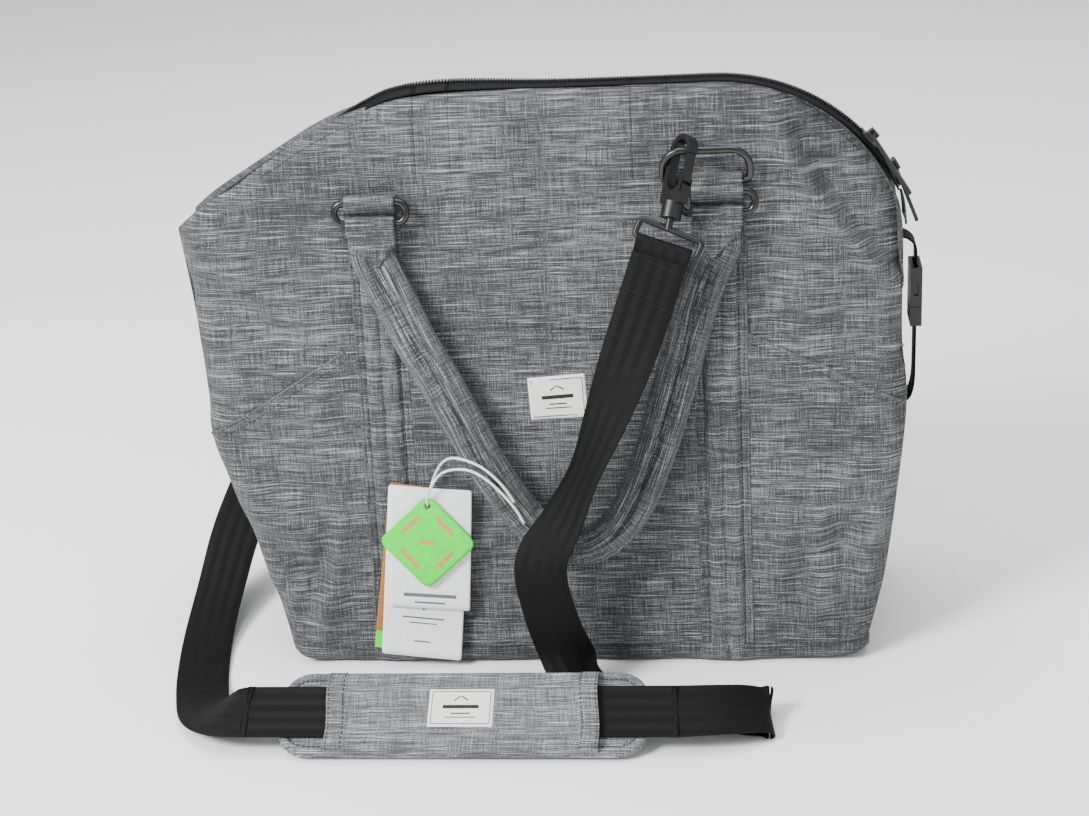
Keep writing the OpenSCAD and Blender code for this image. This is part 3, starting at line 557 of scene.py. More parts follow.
def rounded_ring(length, width, radius, count=220):
    """Outline of a rectangle with round corners, evenly spaced, as (x, y) points counter-clockwise."""
    r = max(min(radius, width / 2 - 0.01, length / 2 - 0.01), 0.3)
    pieces = []
    for x, y, start in ((1, 1, 0), (-1, 1, 90), (-1, -1, 180), (1, -1, 270)):
        a = np.radians(start + np.linspace(0, 90, 12))
        pieces.append(np.stack([x * (length / 2 - r) + r * np.cos(a), y * (width / 2 - r) + r * np.sin(a)],
                               -1))
    ring = np.vstack(pieces + [pieces[0][:1]])
    at = run_length(ring)
    even = np.linspace(0, at[-1], count, endpoint=False)
    return np.stack([np.interp(even, at, ring[:, k]) for k in (0, 1)], -1)


# The pad's closed form: rings drawn in from the edge, under, round the binding and over the top.
pad_profile = [(30.6, 1.1), (22, 0.7), (12, 0.4), (5, 0.5), (2.2, 0.2), (0.7, 0.9), (0.0, 2.4), (0.0, 4.2),
               (0.8, 6.0), (2.4, 7.0), (4.2, 7.1), (5.6, 6.4), (6.3, 5.6), (7.2, 6.1), (9, 6.7), (13, 7.1),
               (19, 7.2), (25, 7.2), (30.6, 7.2)]
pad_rows = catmull(pad_profile, 3)
pad_rings = []
for inset, height in pad_rows:
    ring = rounded_ring(252 - 2 * inset, max(62 - 2 * inset, 0.4), max(20 - inset, 0.4))
    pucker = 0.18 * np.sin(ring[:, 0] * 0.55) * math.exp(-((inset - 6.3) / 2.2) ** 2)
    sag = -0.5 * np.exp(-((ring[:, 0] + 96) / 26) ** 2) * (height > 5)
    pad_rings.append(np.stack([ring[:, 0], ring[:, 1] + 31, height + pucker + sag], -1))
pad_grid = on_pad(np.array(pad_rings))
ring_mm = np.array(pad_rings)
pad_uv = np.concatenate([ring_mm, ring_mm[:, :1]], 1)[..., :2] * 0.001
# The pad's cover takes the lighter canvas copy: painted light.
pad_piece = fit(surface("pad_foam_base", pad_grid, pad_uv, wrap=True, caps=True), heather_painted_light, "pad",
                "pad_base",
                slot="heather_fabric")

# The sleeve: one sheet over the pad, its long edges sewn into the binding, its ends open with folded hems.
sleeve_section = catmull([(1.2, 5.2), (1.8, 8.2), (4.6, 11.4), (10, 12.5), (20, 12.9), (31, 12.9),
                          (42, 12.9), (52, 12.5),
                          (57.4, 11.4), (60.2, 8.2), (60.8, 5.2)], 5)
sleeve_along = np.concatenate([[-92.5, -92.0, -91], np.linspace(-89, 89, 90), [91, 92.0, 92.5]])
hem = np.clip((np.abs(sleeve_along) - 80) / 1.2, 0, 1)[:, None]
sleeve_y = np.broadcast_to(sleeve_section[None, :, 0], (len(sleeve_along), len(sleeve_section)))
wave = (0.45 * np.sin(sleeve_along * 0.09)[:, None] + 0.3 * np.sin(sleeve_along * 0.31 + 1.0)[:, None]) \
    * np.sin(np.pi * (sleeve_y - 1) / 60)
dip = -0.5 * np.exp(-((np.abs(sleeve_along) - 79) / 1.4) ** 2)[:, None]
sleeve_z = sleeve_section[None, :, 1] + 0.9 * hem + wave + dip * (sleeve_section[None, :, 1] > 7)
sleeve_x = np.broadcast_to(sleeve_along[:, None], sleeve_y.shape) + 1.2 * np.sin(sleeve_y * 0.1)
sleeve_points = np.stack([sleeve_x, sleeve_y, sleeve_z], -1)
sleeve_arc = run_length(sleeve_section)
sleeve_uv = np.stack(np.meshgrid(sleeve_arc, sleeve_along), -1)[..., ::-1] * 0.001
sleeve = surface("pad_sleeve_cloth", on_pad(sleeve_points), sleeve_uv, flip=True)
sleeve_wall = sleeve.modifiers.new("cloth", "SOLIDIFY")
sleeve_wall.thickness, sleeve_wall.offset = 0.0016, -1
# The sleeve takes the lighter canvas copy: painted light.
fit(sleeve, heather_painted_light, "pad", "pad_sleeve", slot="heather_fabric")


# Sewing thread: bonded polyester, drawn as separate stitches that sink at both ends.
thread_grey, tree, shader = finish_of("grey_sewing_thread",
                                      {"Roughness": 0.55, "Base Color": linear("#26282b")})
thread_coords = add(tree, "ShaderNodeTexCoord")
thread_noise = add(tree, "ShaderNodeTexNoise", {"Scale": 600.0},
                   {"Vector": thread_coords.outputs["Object"]})
thread_tone = add(tree, "ShaderNodeValToRGB", links={"Fac": thread_noise.outputs["Fac"]})
thread_tone.color_ramp.elements[0].color = linear("#1b1d1f")
thread_tone.color_ramp.elements[1].color = linear("#34373a")
tree.links.new(thread_tone.outputs[0], shader.inputs["Base Color"])


def stitches(name, lines, body, material=None, pitch=3.4, length=2.5, thick=0.42):
    """Stitches along lines of points in millimetres, each a long eight-sided bead on the cloth's surface.

    lines is a list of (points, outward) pairs: outward is the direction in which the cloth faces.
    """
    centres, tangents, normals = [], [], []
    for points, outward in lines:
        p = np.asarray(points, float)
        at = run_length(p)
        count = max(int(at[-1] / pitch), 1)
        where = (np.arange(count) + 0.5) * at[-1] / count
        centres.append(np.stack([np.interp(where, at, p[:, k]) for k in range(3)], -1))
        tangent = directions(p)
        tangents.append(unit(np.stack([np.interp(where, at, tangent[:, k]) for k in range(3)], -1)))
        n = np.broadcast_to(np.asarray(outward, float), p.shape)
        normals.append(unit(np.stack([np.interp(where, at, n[:, k]) for k in range(3)], -1)))
    c, t, n = (np.concatenate(part) for part in (centres, tangents, normals))
    n = unit(n - t * np.sum(n * t, -1, keepdims=True))
    b = np.cross(t, n)
    shape = np.array([[-0.5, 0, -0.3], [-0.25, 0.8, 0], [-0.25, 0, 0.9], [-0.25, -0.8, 0], [0.25, 0.8, 0],
                      [0.25, 0, 0.9], [0.25, -0.8, 0], [0.5, 0, -0.3]])
    bead = np.array([[0, 1, 2], [0, 2, 3], [0, 3, 1], [1, 4, 5], [1, 5, 2], [2, 5, 6], [2, 6, 3], [3, 6, 4],
                     [3, 4, 1], [4, 7, 5], [5, 7, 6], [6, 7, 4]])
    verts = (c[:, None] + shape[None, :, :1] * length * t[:, None] + shape[None, :, 1:2] * thick * b[:,
            None]
             + shape[None, :, 2:] * thick * n[:, None]).reshape(-1, 3)
    faces = (bead[None] + 8 * np.arange(len(c))[:, None, None]).reshape(-1, 3)
    mesh = bpy.data.meshes.new(name)
    mesh.from_pydata((verts * 0.001).tolist(), [], faces.tolist())
    mesh.polygons.foreach_set("use_smooth", np.ones(len(faces), bool))
    mesh.update()
    made = bpy.data.objects.new(name, mesh)
    bpy.context.scene.collection.objects.link(made)
    fit(made, material or thread_grey, body)
    return made


pad_up = (0, -0.5, 0.87)
sleeve_lines = []
for x in (-90.6, -81.4, 81.4, 90.6):
    k = int(np.argmin(np.abs(sleeve_along - x)))
    sleeve_lines.append((on_pad(sleeve_points[k, 6:-6] + [0, 0, 0.25]), pad_up))
inner_ring = rounded_ring(252 - 12.6, 62 - 12.6, 13.7)
ring_line = np.column_stack([inner_ring[:, 0], inner_ring[:, 1] + 31, np.full(len(inner_ring), 6.2)])
for part in (ring_line[(ring_line[:, 0] > 94) & (ring_line[:, 1] > 0)], ring_line[(ring_line[:, 0] < -94)]):
    order = np.argsort(np.arctan2(part[:, 1] - 31, np.abs(part[:, 0]) - 94))
    sleeve_lines.append((on_pad(part[order]), pad_up))
stitches("pad_stitching", sleeve_lines, "pad")
thread_black = paper("black_sewing_thread", "#0a0a0b", "#1a1a1c", 0.5, 0.002)
for side, lines in loop_lines.items():
    stitches(f"{side}_webbing_stitching", lines, f"{side}_eye", thread_black, pitch=2.2, length=1.7,
             thick=0.3)

# ---------- Woven labels ----------
# Two small damask labels, pale with a thin dark border, sewn on tightly, with plain bars for a motif.
label_satin, tree, shader = finish_of("pale_damask_label", {"Roughness": 0.55, "Sheen Weight": 0.15})
uv_node = add(tree, "ShaderNodeUVMap", {"uv_map": "cloth"})
satin_at = add(tree, "ShaderNodeMapping", {"Scale": (2600, 900, 1)}, {"Vector": uv_node.outputs[0]})
satin = add(tree, "ShaderNodeTexNoise", {"Scale": 1.0, "Detail": 2.0}, {"Vector": satin_at.outputs[0]})
satin_tone = add(tree, "ShaderNodeValToRGB", links={"Fac": satin.outputs["Fac"]})
satin_tone.color_ramp.elements[0].color = linear("#cfcfca")
satin_tone.color_ramp.elements[1].color = linear("#f4f4f1")
satin_bump = add(tree, "ShaderNodeBump", {"Strength": 0.4, "Distance": 0.0002},
                 {"Height": satin.outputs["Fac"]})
tree.links.new(satin_tone.outputs[0], shader.inputs["Base Color"])
tree.links.new(satin_bump.outputs[0], shader.inputs["Normal"])
label_black = paper("label_black_yarn", "#050506", "#0e0e10", 0.7, 0.001)


def label(name, width, height, place, body, node):
    """A woven label: a soft-edged sheet, a thin border and a plain motif, set on the bag by place."""
    a = np.linspace(-1, 1, 41)
    b = np.linspace(-1, 1, 31)
    x, z = (g * k for g, k in zip(np.meshgrid(a, b), (width / 2, height / 2)))
    edge = np.minimum(width / 2 - np.abs(x), height / 2 - np.abs(z))
    out = 0.55 + 0.25 * np.clip(edge / 1.2, 0, 1) ** 0.5 + 0.06 * np.sin(x * 0.7) * np.sin(z * 0.6)
    out[edge < 1e-6] = 0
    sheet_points = np.stack([x, -out, z], -1)
    piece = fit(surface(name, place(sheet_points), np.stack([x, z], -1) * 0.001), label_satin, body, node,
                slot="woven_label")
    w, h = width - 4.4, height - 4.4
    marks = [(0, h / 2, w, 0.5, 0), (0, -h / 2, w, 0.5, 0), (w / 2, 0, 0.5, h, 0), (-w / 2, 0, 0.5, h, 0),
             (0, 0.6, w * 0.62, 2.6, 0), (0, -4.4, w * 0.34, 0.9, 0), (0, -7.2, w * 0.52, 0.7, 0),
             (-2.6, 6.8, 5.4, 0.9, 35), (2.6, 6.8, 5.4, 0.9, -35)]
    printed = strips_of(name + "_motif", marks, 0.74)
    co = np.empty(len(printed.data.vertices) * 3)
    printed.data.vertices.foreach_get("co", co)
    printed.data.vertices.foreach_set("co", (place(co.reshape(-1, 3) * 1000) * 0.001).ravel())
    printed.data.update()
    fit(printed, label_black, body, slot="woven_label")
    return piece


def on_pad_label(points):
    p = np.asarray(points, float)
    return on_pad(np.stack([p[..., 0], p[..., 2] + 31, 13.7 - p[..., 1]], -1))


label("pad_woven_label", 44, 28, on_pad_label, "pad", "pad_label")

# ---------- Bag shell ----------
# The body is one soft loft of heathered canvas: a front and a back panel that lean to a narrow zipped top,
# and side gussets folded between them. It stands by itself and sags between its seams.
BASE_HALF_DEPTH = 85
left_edge = catmull([(-200, 13), (-209, 50), (-226, 105), (-246, 166), (-247, 200), (-251, 260),
                     (-258, 317)], 12)
shoulder_angle = np.radians(np.linspace(90, 19, 12))
arch = np.column_stack([116 + 130 * np.cos(shoulder_angle), 274 + 130 * np.sin(shoulder_angle) - 1])
top_edge = catmull(np.vstack([[(-258, 317), (-240, 331), (-214, 347), (-186, 364), (-158, 380), (-128, 392),
                               (-90, 400),
                               (-45, 402.5), (20, 403), (80, 403)], arch, [(241, 290), (240.5, 262)]]), 6)
right_edge = catmull([(217, 17), (228, 60), (237, 120), (243.5, 184), (240.5, 225), (240.5, 262)], 12)
bottom_edge = catmull([(-200, 13), (-188, 5), (-150, 2), (-60, 1), (60, 1), (160, 2), (204, 6), (217, 17)],
                      10)


def evenly(line, count):
    """The line's points at equal steps along it."""
    at = run_length(line)
    where = np.linspace(0, at[-1], count)
    return np.stack([np.interp(where, at, line[:, k]) for k in range(line.shape[1])], -1)


def coons(bottom, top, left, right):
    """Points inside four edges: the two ruled blends less the blend of the four corners."""
    a = np.linspace(0, 1, len(bottom))[None, :, None]
    b = np.linspace(0, 1, len(left))[:, None, None]
    ruled = (1 - b) * bottom[None] + b * top[None] + (1 - a) * left[:, None] + a * right[:, None]
    corners = ((1 - a) * (1 - b) * bottom[0] + a * (1 - b) * bottom[-1] + (1 - a) * b * top[0] + a * b
               * top[-1])
    return ruled - corners


outline_left = np.vstack([left_edge, top_edge[top_edge[:, 0] < -60]])
outline_right = np.vstack([right_edge, top_edge[(top_edge[:, 0] > 60)][::-1]])
order_left, order_right = np.argsort(outline_left[:, 1]), np.argsort(outline_right[:, 1])


def edge_distance(x, z):
    """How far a point is inside the outline, in millimetres, across or down, whichever is less."""
    in_left = x - np.interp(z, outline_left[order_left, 1], outline_left[order_left, 0])
    in_right = np.interp(z, outline_right[order_right, 1], outline_right[order_right, 0]) - x
    down = np.interp(x, top_edge[:, 0], top_edge[:, 1]) - z
    return np.maximum(np.minimum(np.minimum(in_left, in_right), down), 0)


# Folds of the cloth: start and end across and up, width and height of the ridge (a minus is a valley).
front_folds = [
    (-252, 312, -150, 250, 19, 6.0), (-256, 288, -165, 226, 13, -5.5), (-225, 352, -150, 300, 17, -4.5),
    (-250, 250, -160, 232, 12, 3.0), (-247, 205, -166, 168, 15, 3.6), (-236, 128, -150, 92, 12, 6.0),
    (-228, 104, -152, 58, 9, -6.0), (-214, 62, -146, 40, 11, 6.0), (-196, 26, -158, 122, 8, -5.2),
    (-176, 14, -152, 150, 10, 4.6), (-236, 150, -170, 132, 8, -4.2), (-222, 40, -186, 78, 7, -4.6),
    (-172, 150, -160, 232, 12, 3.0), (158, 330, 152, 230, 13, -4.4), (200, 285, 160, 210, 15, 3.0),
    (236, 226, 160, 190, 13, -3.2), (240, 160, 176, 100, 14, 4.6), (236, 118, 170, 60, 10, -5.6),
    (228, 62, 168, 34, 10, 5.2), (205, 30, 190, 130, 8, -4.4), (176, 20, 182, 120, 8, 3.6),
    (150, 40, 160, 150, 13, 2.6), (-60, 330, 40, 352, 22, -2.6), (-80, 385, 60, 372, 16, -2.2),
    (-70, 200, -40, 60, 30, -2.2), (60, 190, 30, 60, 30, -2.4), (-150, 372, -96, 330, 14, -3.0),
    (-70, 388, 20, 330, 10, 1.2), (90, 392, 30, 340, 12, 1.1)]
back_folds = [
    (246, 310, 150, 240, 18, 4.6), (238, 350, 150, 300, 14, -3.6), (240, 140, 150, 96, 14, 4.4),
    (225, 92, 150, 52, 11, -4.0), (-244, 300, -150, 240, 16, 4.4), (-236, 150, -150, 110, 15, -3.6),
    (-220, 66, -150, 40, 11, 4.2), (-160, 40, -150, 180, 12, 2.8), (155, 60, 160, 190, 12, -2.6),
    (-60, 330, 50, 345, 24, -2.0), (-60, 180, 60, 110, 40, -2.0)]
ripple = np.random.default_rng(41)
ripple_way = ripple.uniform(-1, 1, (26, 2))
ripple_length = ripple.uniform(26, 90, 26)
ripple_phase = ripple.uniform(0, 2 * np.pi, 26)


def swell(x, z, front=True):
    """How far the panel stands off its flat: folds as ridges, small ripples, less near the hardware."""
    out = np.zeros(np.broadcast(x, z).shape)
    for x0, z0, x1, z1, width, height in (front_folds if front else back_folds):
        run = np.array([x1 - x0, z1 - z0], float)
        length = np.linalg.norm(run)
        run /= length
        along = (x - x0) * run[0] + (z - z0) * run[1]
        off = -(x - x0) * run[1] + (z - z0) * run[0] + 4 * np.sin(along / length * np.pi)
        taper = np.clip(np.sin(np.clip(along / length, -0.12, 1.12) * np.pi * 0.8 + 0.32), 0, 1) ** 1.2
        out = out + height * taper * np.exp(-(off / width) ** 2)
    if front:
        tuck = x - np.interp(z, [244, 262, 300, 352, 396], [252, 243, 204, 170, 150])
        held = np.clip((z - 246) / 22, 0, 1) * np.clip((398 - z) / 26, 0, 1)
        fall = np.clip(tuck / 15, 0, 1)
        crumple = 2.6 * np.sin(x * 0.17 + z * 0.11) + 1.8 * np.sin(x * 0.07 - z * 0.21)
        out = out + held * (5.0 * np.exp(-((tuck + 3) / 8) ** 2) - 13.0 * fall * fall * (3 - 2 * fall)
                            + crumple * fall)
    small = np.zeros_like(out)
    sign = 1 if front else -1
    for way, length, phase in zip(ripple_way, ripple_length, ripple_phase):
        k = way / np.linalg.norm(way) * 2 * np.pi / length
        small += np.sin(sign * k[0] * x + k[1] * z + phase) * length / 90
    out = out + small * 0.22
    slack = np.clip((np.abs(x) - 134) / 26, 0, 1)
    soft_out = np.clip(out, -13.0, 7.5)
    quiet = np.clip(out, -3.5, 0.5)
    hard = 1 - np.clip((z - 262) / 40, 0, 1) * np.clip((140 - np.abs(x)) / 14, 0, 1) * (np.abs(x) > 70)
    return (slack * soft_out + (1 - slack) * quiet) * hard


def on_panel(x, z, out, front=True):
    """A point on the panel, out from its cloth: it leans in as it rises, rolls in at the edge, and sags."""
    d = edge_distance(x, z)
    roll = 7.0 * np.clip(1 - d / 15, 0, 1) ** 2.2
    foot = 5.0 * np.clip(1 - z / 11, 0, 1) ** 2
    y = BASE_HALF_DEPTH - 70 / 404 * z + swell(x, z, front) - roll - foot + out
    return np.stack([x, -y if front else y, z], -1)


LIP_FOLD, LIP_HALF, LIP_SPREAD = 342, 62, 24


def cloth_sheet(name, xz, out, front, material, body, *nodes, thick=1.4, slot="heather_fabric"):
    """A sheet on the panel over a grid of (across, up) points; its wall goes inwards."""
    points = on_panel(xz[..., 0], xz[..., 1], out, front)
    shift = 0.0 if front else 0.7
    piece = surface(name, points, xz * 0.001 + shift, flip=not front)
    wall = piece.modifiers.new("cloth", "SOLIDIFY")
    wall.thickness, wall.offset = thick * 0.001, -1
    return fit(piece, material, body, *nodes, slot=slot)


# Each panel is cut where its lip folds: the rest stays on the bag, the middle turns with the lip, and a
# spread on each side stays fixed between them.
def split_panel(front):
    """The panel's top above the fold, in three sheets."""
    way = "front" if front else "back"
    lip_rows = np.linspace(0, 1, 34)[:, None]
    x_cuts = [(-LIP_HALF - LIP_SPREAD, -LIP_HALF), (-LIP_HALF, LIP_HALF), (LIP_HALF, LIP_HALF + LIP_SPREAD)]
    for part, (x0, x1) in zip(("left", "middle", "right"), x_cuts):
        columns = np.linspace(x0, x1, 60 if part == "middle" else 22)[None, :]
        top = np.interp(columns, top_edge[:, 0], top_edge[:, 1])
        z = LIP_FOLD + lip_rows * (top - LIP_FOLD)
        xz = np.stack([np.broadcast_to(columns, z.shape), z], -1)
        nodes = (f"{way}_lip",) if part == "middle" else ()
        body = f"{way}_lip" if part == "middle" else None
        piece = cloth_sheet(f"{way}_lip_{part}", xz, 0.0, front, heather_canvas, body, *nodes)
        if part != "middle":
            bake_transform(piece)


def shell_panel(front):
    """The panel below and beside the lip: rows follow the loft, and the lip's notch is left open."""
    way = "front" if front else "back"
    notch = LIP_HALF + LIP_SPREAD
    pieces = []
    lower_top = np.column_stack([np.linspace(-notch, notch, 110), np.full(110, float(LIP_FOLD))])
    left_top = top_edge[top_edge[:, 0] <= -notch]
    left_end = np.interp(-notch, top_edge[:, 0], top_edge[:, 1])
    right_end = np.interp(notch, top_edge[:, 0], top_edge[:, 1])
    right_top = top_edge[top_edge[:, 0] >= notch]
    left_top = evenly(np.vstack([left_top, [(-notch, left_end)]]), 60)
    right_top = evenly(np.vstack([[(notch, right_end)], right_top]), 60)
    # three lofts side by side share their edges: left of the notch, under it, and right of it
    foot = evenly(bottom_edge, 600)
    foot_at = [foot[foot[:, 0] <= -notch * 0.9],
               foot[(foot[:, 0] >= -notch * 0.9) & (foot[:, 0] <= notch * 0.9)],
               foot[foot[:, 0] >= notch * 0.9]]
    seam_left = np.linspace(0, 1, 170)[:, None]
    x_left, x_right = -notch * 0.9, notch * 0.9
    joint_left = (np.array([[x_left, foot_at[1][0, 1]]]), np.array([[-notch, LIP_FOLD]]))
    joint_right = (np.array([[x_right, foot_at[1][-1, 1]]]), np.array([[notch, LIP_FOLD]]))
    line_left = joint_left[0] * (1 - seam_left) + joint_left[1] * seam_left
    line_right = joint_right[0] * (1 - seam_left) + joint_right[1] * seam_left
    up_left = np.vstack([line_left, np.column_stack([np.full(24, -float(notch)),
                                                     np.linspace(LIP_FOLD, left_end, 25)[1:]])])
    up_right = np.vstack([line_right, np.column_stack([np.full(24, float(notch)),
                                                       np.linspace(LIP_FOLD, right_end, 25)[1:]])])
    rows = len(up_left)
    grids = [coons(evenly(np.vstack([foot_at[0], [line_left[0]]]), 60), left_top, evenly(left_edge, rows),
                   up_left),
             coons(evenly(np.vstack([[line_left[0]], foot_at[1][1:-1], [line_right[0]]]), 110), lower_top,
                   line_left,
                   line_right),
             coons(evenly(np.vstack([[line_right[0]], foot_at[2]]), 60), right_top, up_right,
                   evenly(right_edge, rows))]
    verts, faces, flats, first = [], [], [], 0
    for grid in grids:
        r, c = grid.shape[:2]
        index = first + np.arange(r * c).reshape(r, c)
        quads = np.stack([index[:-1, :-1], index[:-1, 1:], index[1:, 1:], index[1:, :-1]], -1).reshape(-1,
                4)
        verts.append(on_panel(grid[..., 0], grid[..., 1], 0.0, front).reshape(-1, 3))
        flats.append(grid.reshape(-1, 2))
        faces.append(quads if front else quads[:, ::-1])
        first += r * c
    verts, faces, flats = np.vstack(verts), np.vstack(faces), np.vstack(flats)
    mesh = bpy.data.meshes.new(f"{way}_shell")
    mesh.from_pydata((verts * 0.001).tolist(), [], faces.tolist())
    mesh.polygons.foreach_set("use_smooth", np.ones(len(faces), bool))
    flat_uv = flats[faces.ravel()] * 0.001 + (0.0 if front else 0.7)
    mesh.uv_layers.new(name="cloth").data.foreach_set("uv", flat_uv.ravel())
    weld = bmesh.new()
    weld.from_mesh(mesh)
    bmesh.ops.remove_doubles(weld, verts=weld.verts, dist=0.00015)
    weld.to_mesh(mesh)
    weld.free()
    piece = bpy.data.objects.new(f"{way}_shell", mesh)
    bpy.context.scene.collection.objects.link(piece)
    wall = piece.modifiers.new("cloth", "SOLIDIFY")
    wall.thickness, wall.offset = 0.0014, -1
    fit(piece, heather_canvas, "bag", f"{way}_panel", slot="heather_fabric")
    pieces.append(piece)
    return pieces


for is_front in (True, False):
    shell_panel(is_front)
    split_panel(is_front)


# ---------- Gussets and base ----------
# The side gussets fold inwards between the panels; a strip of the same cloth closes the bottom.
# Gussets take the darker canvas copy: painted shade, where they sit back between the panels.
def gusset(name, line, fold_depth, node, sign):
    """Across the bag from front edge to back edge: half a turn of sine gives both edges a round roll,
    and a cosine power draws the middle in. line holds (x, z) up the side."""
    phi = np.radians(np.linspace(-90, 90, 61))[None, :]
    x, z = line[:, :1], line[:, 1:]
    half = BASE_HALF_DEPTH - 70 / 404 * z - 7.0
    fold = np.interp(z, [p[0] for p in fold_depth], [p[1] for p in fold_depth])
    bulge = 3.2 * np.clip(half / 20, 0.35, 1)
    run = run_length(line)[:, None]
    crease = 1.6 * np.sin(run * 0.055 + 2.0 * np.sin(phi * 2)) * np.cos(phi) ** 2
    px = x + sign * (bulge * np.cos(phi) - fold * np.cos(phi) ** 3 + crease * np.clip(half / 60, 0, 1))
    py = half * np.sin(phi) * (1 - 0.02 * np.cos(phi))
    points = np.stack([px, py, np.broadcast_to(z, px.shape)], -1)
    across = half * phi
    uv = np.stack([across, np.broadcast_to(run, across.shape)], -1) * 0.001 + 1.4
    piece = surface(name, points, uv, flip=sign < 0)
    wall = piece.modifiers.new("cloth", "SOLIDIFY")
    wall.thickness, wall.offset = 0.0014, -1
    return fit(piece, heather_painted_shade, "bag", node, slot="heather_fabric")


right_line = evenly(np.vstack([right_edge, top_edge[top_edge[:, 0] > LIP_HALF + LIP_SPREAD][::-1][1:]]),
                    200)
left_line = evenly(np.vstack([left_edge, top_edge[top_edge[:, 0] < -LIP_HALF - LIP_SPREAD][1:]]), 200)
gusset("right_gusset_cloth", right_line, [(10, 2), (60, 8), (160, 10), (230, 9), (290, 8), (330, 4),
                                          (404, 2)],
       "right_gusset", 1)
gusset("left_gusset_cloth", left_line, [(10, 2), (60, 8), (160, 12), (230, 14), (290, 17), (330, 15),
                                        (360, 10), (404, 2)],
       "left_gusset", -1)

base_line = evenly(bottom_edge, 160)
base_across = np.radians(np.linspace(-90, 90, 41))[None, :]
base_half = BASE_HALF_DEPTH - 5.2 - 6.5 * np.clip(1 - (np.minimum(base_line[:, 0] + 200,
                                                                  217 - base_line[:, 0])) / 15,
                                                  0, 1)[:, None] ** 2.2
base_z = base_line[:, 1:] * (1 - np.cos(base_across) ** 0.35) + 0.4 * np.cos(base_across) ** 0.35
base_points = np.stack([np.broadcast_to(base_line[:, :1], base_z.shape), base_half * np.sin(base_across),
                        base_z], -1)
base_cloth = surface("base_cloth", base_points, base_points[..., :2] * 0.001 + 2.1)
base_wall = base_cloth.modifiers.new("cloth", "SOLIDIFY")
base_wall.thickness, base_wall.offset = 0.0014, 1
# The base takes the darker canvas copy: painted shade under the bag.
fit(base_cloth, heather_painted_shade, "bag", "base_panel", slot="heather_fabric")

# ---------- Pockets, strips and hems ----------
# Sewn on the panel, one cloth thickness up: a slip pocket between the strips, a slash pocket each side,
# a turned hem band round the foot, and two padded strips whose tops loop over the handle rings.
def panel_line(x, z, out, front=True):
    """A line on the panel, out from its cloth, through (x, z) points given every few millimetres."""
    points = evenly(np.column_stack([x, z]).astype(float),
                    max(int(np.hypot(x[-1] - x[0], z[-1] - z[0]) / 2.5), 8))
    return on_panel(points[:, 0], points[:, 1], out, front)


def facing(front=True):
    return (0, -1 if front else 1, 0.17)


def patch(bottom, top, left, right, columns, rows):
    return coons(evenly(np.array(bottom, float), columns), evenly(np.array(top, float), columns),
                 evenly(np.array(left, float), rows), evenly(np.array(right, float), rows))


pocket_hem = [(-100.5, 241.5), (-40, 240.6), (40, 240.6), (100.5, 241.5)]
pocket_grid = patch([(-100.5, 12), (100.5, 12)], pocket_hem, [(-100.5, 12), (-100.5, 241.5)],
                    [(100.5, 12), (100.5, 241.5)], 110, 120)
cloth_sheet("front_pocket_cloth", pocket_grid, 2.2, True, heather_canvas, "bag", "front_pocket", thick=1.6)


HEM_RADIUS = 1.15


def hem_roll(name, line, out):
    """The rolled top of a hem: a soft cord of cloth along the pocket's mouth."""
    points = evenly(np.array(line, float), 90)
    rolled = on_panel(points[:, 0], points[:, 1], out, True)
    fit(tube(name, rolled, HEM_RADIUS, 10), heather_canvas, "bag", slot="heather_fabric")


hem_roll("front_pocket_hem", pocket_hem, 1.5)
side_pockets = {
    "right": [(134, 236.5), (165, 222), (200, 205), (243.0, 184.5)],
    "left": [(-134, 236.5), (-165, 218), (-205, 194), (-247.2, 171)]}
for side, mouth in side_pockets.items():
    sign = 1 if side == "right" else -1
    outer = (right_edge if side == "right" else left_edge)
    outer = outer[outer[:, 1] < mouth[-1][1]]
    outer = np.vstack([outer, [mouth[-1]]])
    foot = bottom_edge[bottom_edge[:, 0] * sign > 134]
    foot = foot if sign > 0 else foot[::-1]
    foot = np.vstack([[(134 * sign, np.interp(134 * sign, bottom_edge[:, 0], bottom_edge[:, 1]))], foot])
    inner = [(134 * sign, foot[0, 1]), (134 * sign, 236.5)]
    grid = coons(evenly(foot, 90), evenly(np.array(mouth, float), 90), evenly(np.array(inner, float), 120),
                 evenly(outer, 120))
    if sign < 0:
        grid = grid[:, ::-1]
    cloth_sheet(f"{side}_side_pocket_cloth", grid, 1.9, True, heather_canvas, "bag", f"{side}_side_pocket",
                thick=1.5)
    hem_roll(f"{side}_side_pocket_hem", mouth, 1.2)



def strip(side, front):
    """A padded strip up the panel: its section is a low pillow with flat sewn edges."""
    way = "front" if front else "back"
    x_mid = 118 * side
    across = np.concatenate([[-18.5, -18.4], np.linspace(-17.6, 17.6, 37), [18.4, 18.5]])
    up = np.linspace(2.5, 330, 180)
    pillow = 2.6 + 2.6 * np.sqrt(np.clip(1 - ((np.abs(across) - 5.7) / 5.9) ** 2, 0, 1))
    pillow[[0, -1]] = 0.4
    pillow[[1, -2]] = 2.2
    channel = (-1.0 * np.exp(-((np.abs(across) - 12.6) / 0.9) ** 2)
               - 0.9 * np.exp(-((np.abs(across) - 16.0) / 0.7) ** 2))
    height = (pillow + channel)[None, :] + 0.18 * np.sin(up * 0.21)[:, None] * np.cos(across * 0.2)[None, :]
    x = np.broadcast_to(x_mid + across[None, :], height.shape)
    z = np.broadcast_to(up[:, None], height.shape)
    points = on_panel(x, z, height, front)
    arc = np.stack([x - x_mid + 0.3 * side, z], -1) * 0.001 + (0.31 if side > 0 else 0.52)
    return surface(f"{way}_strip_{'right' if side > 0 else 'left'}_cloth", points, arc, flip=not front)


for is_front in (True, False):
    for side in (-1, 1):
        made = strip(side, is_front)
        nodes = []
        if is_front:
            nodes = ["front_strip_left" if side < 0 else "front_strip_right"]
        elif side < 0:
            nodes = ["back_strips"]
        fit(made, heather_canvas, "bag", *nodes, slot="heather_fabric")


def half_turned(points, front):
    return points if front else points * np.array([-1, -1, 1])


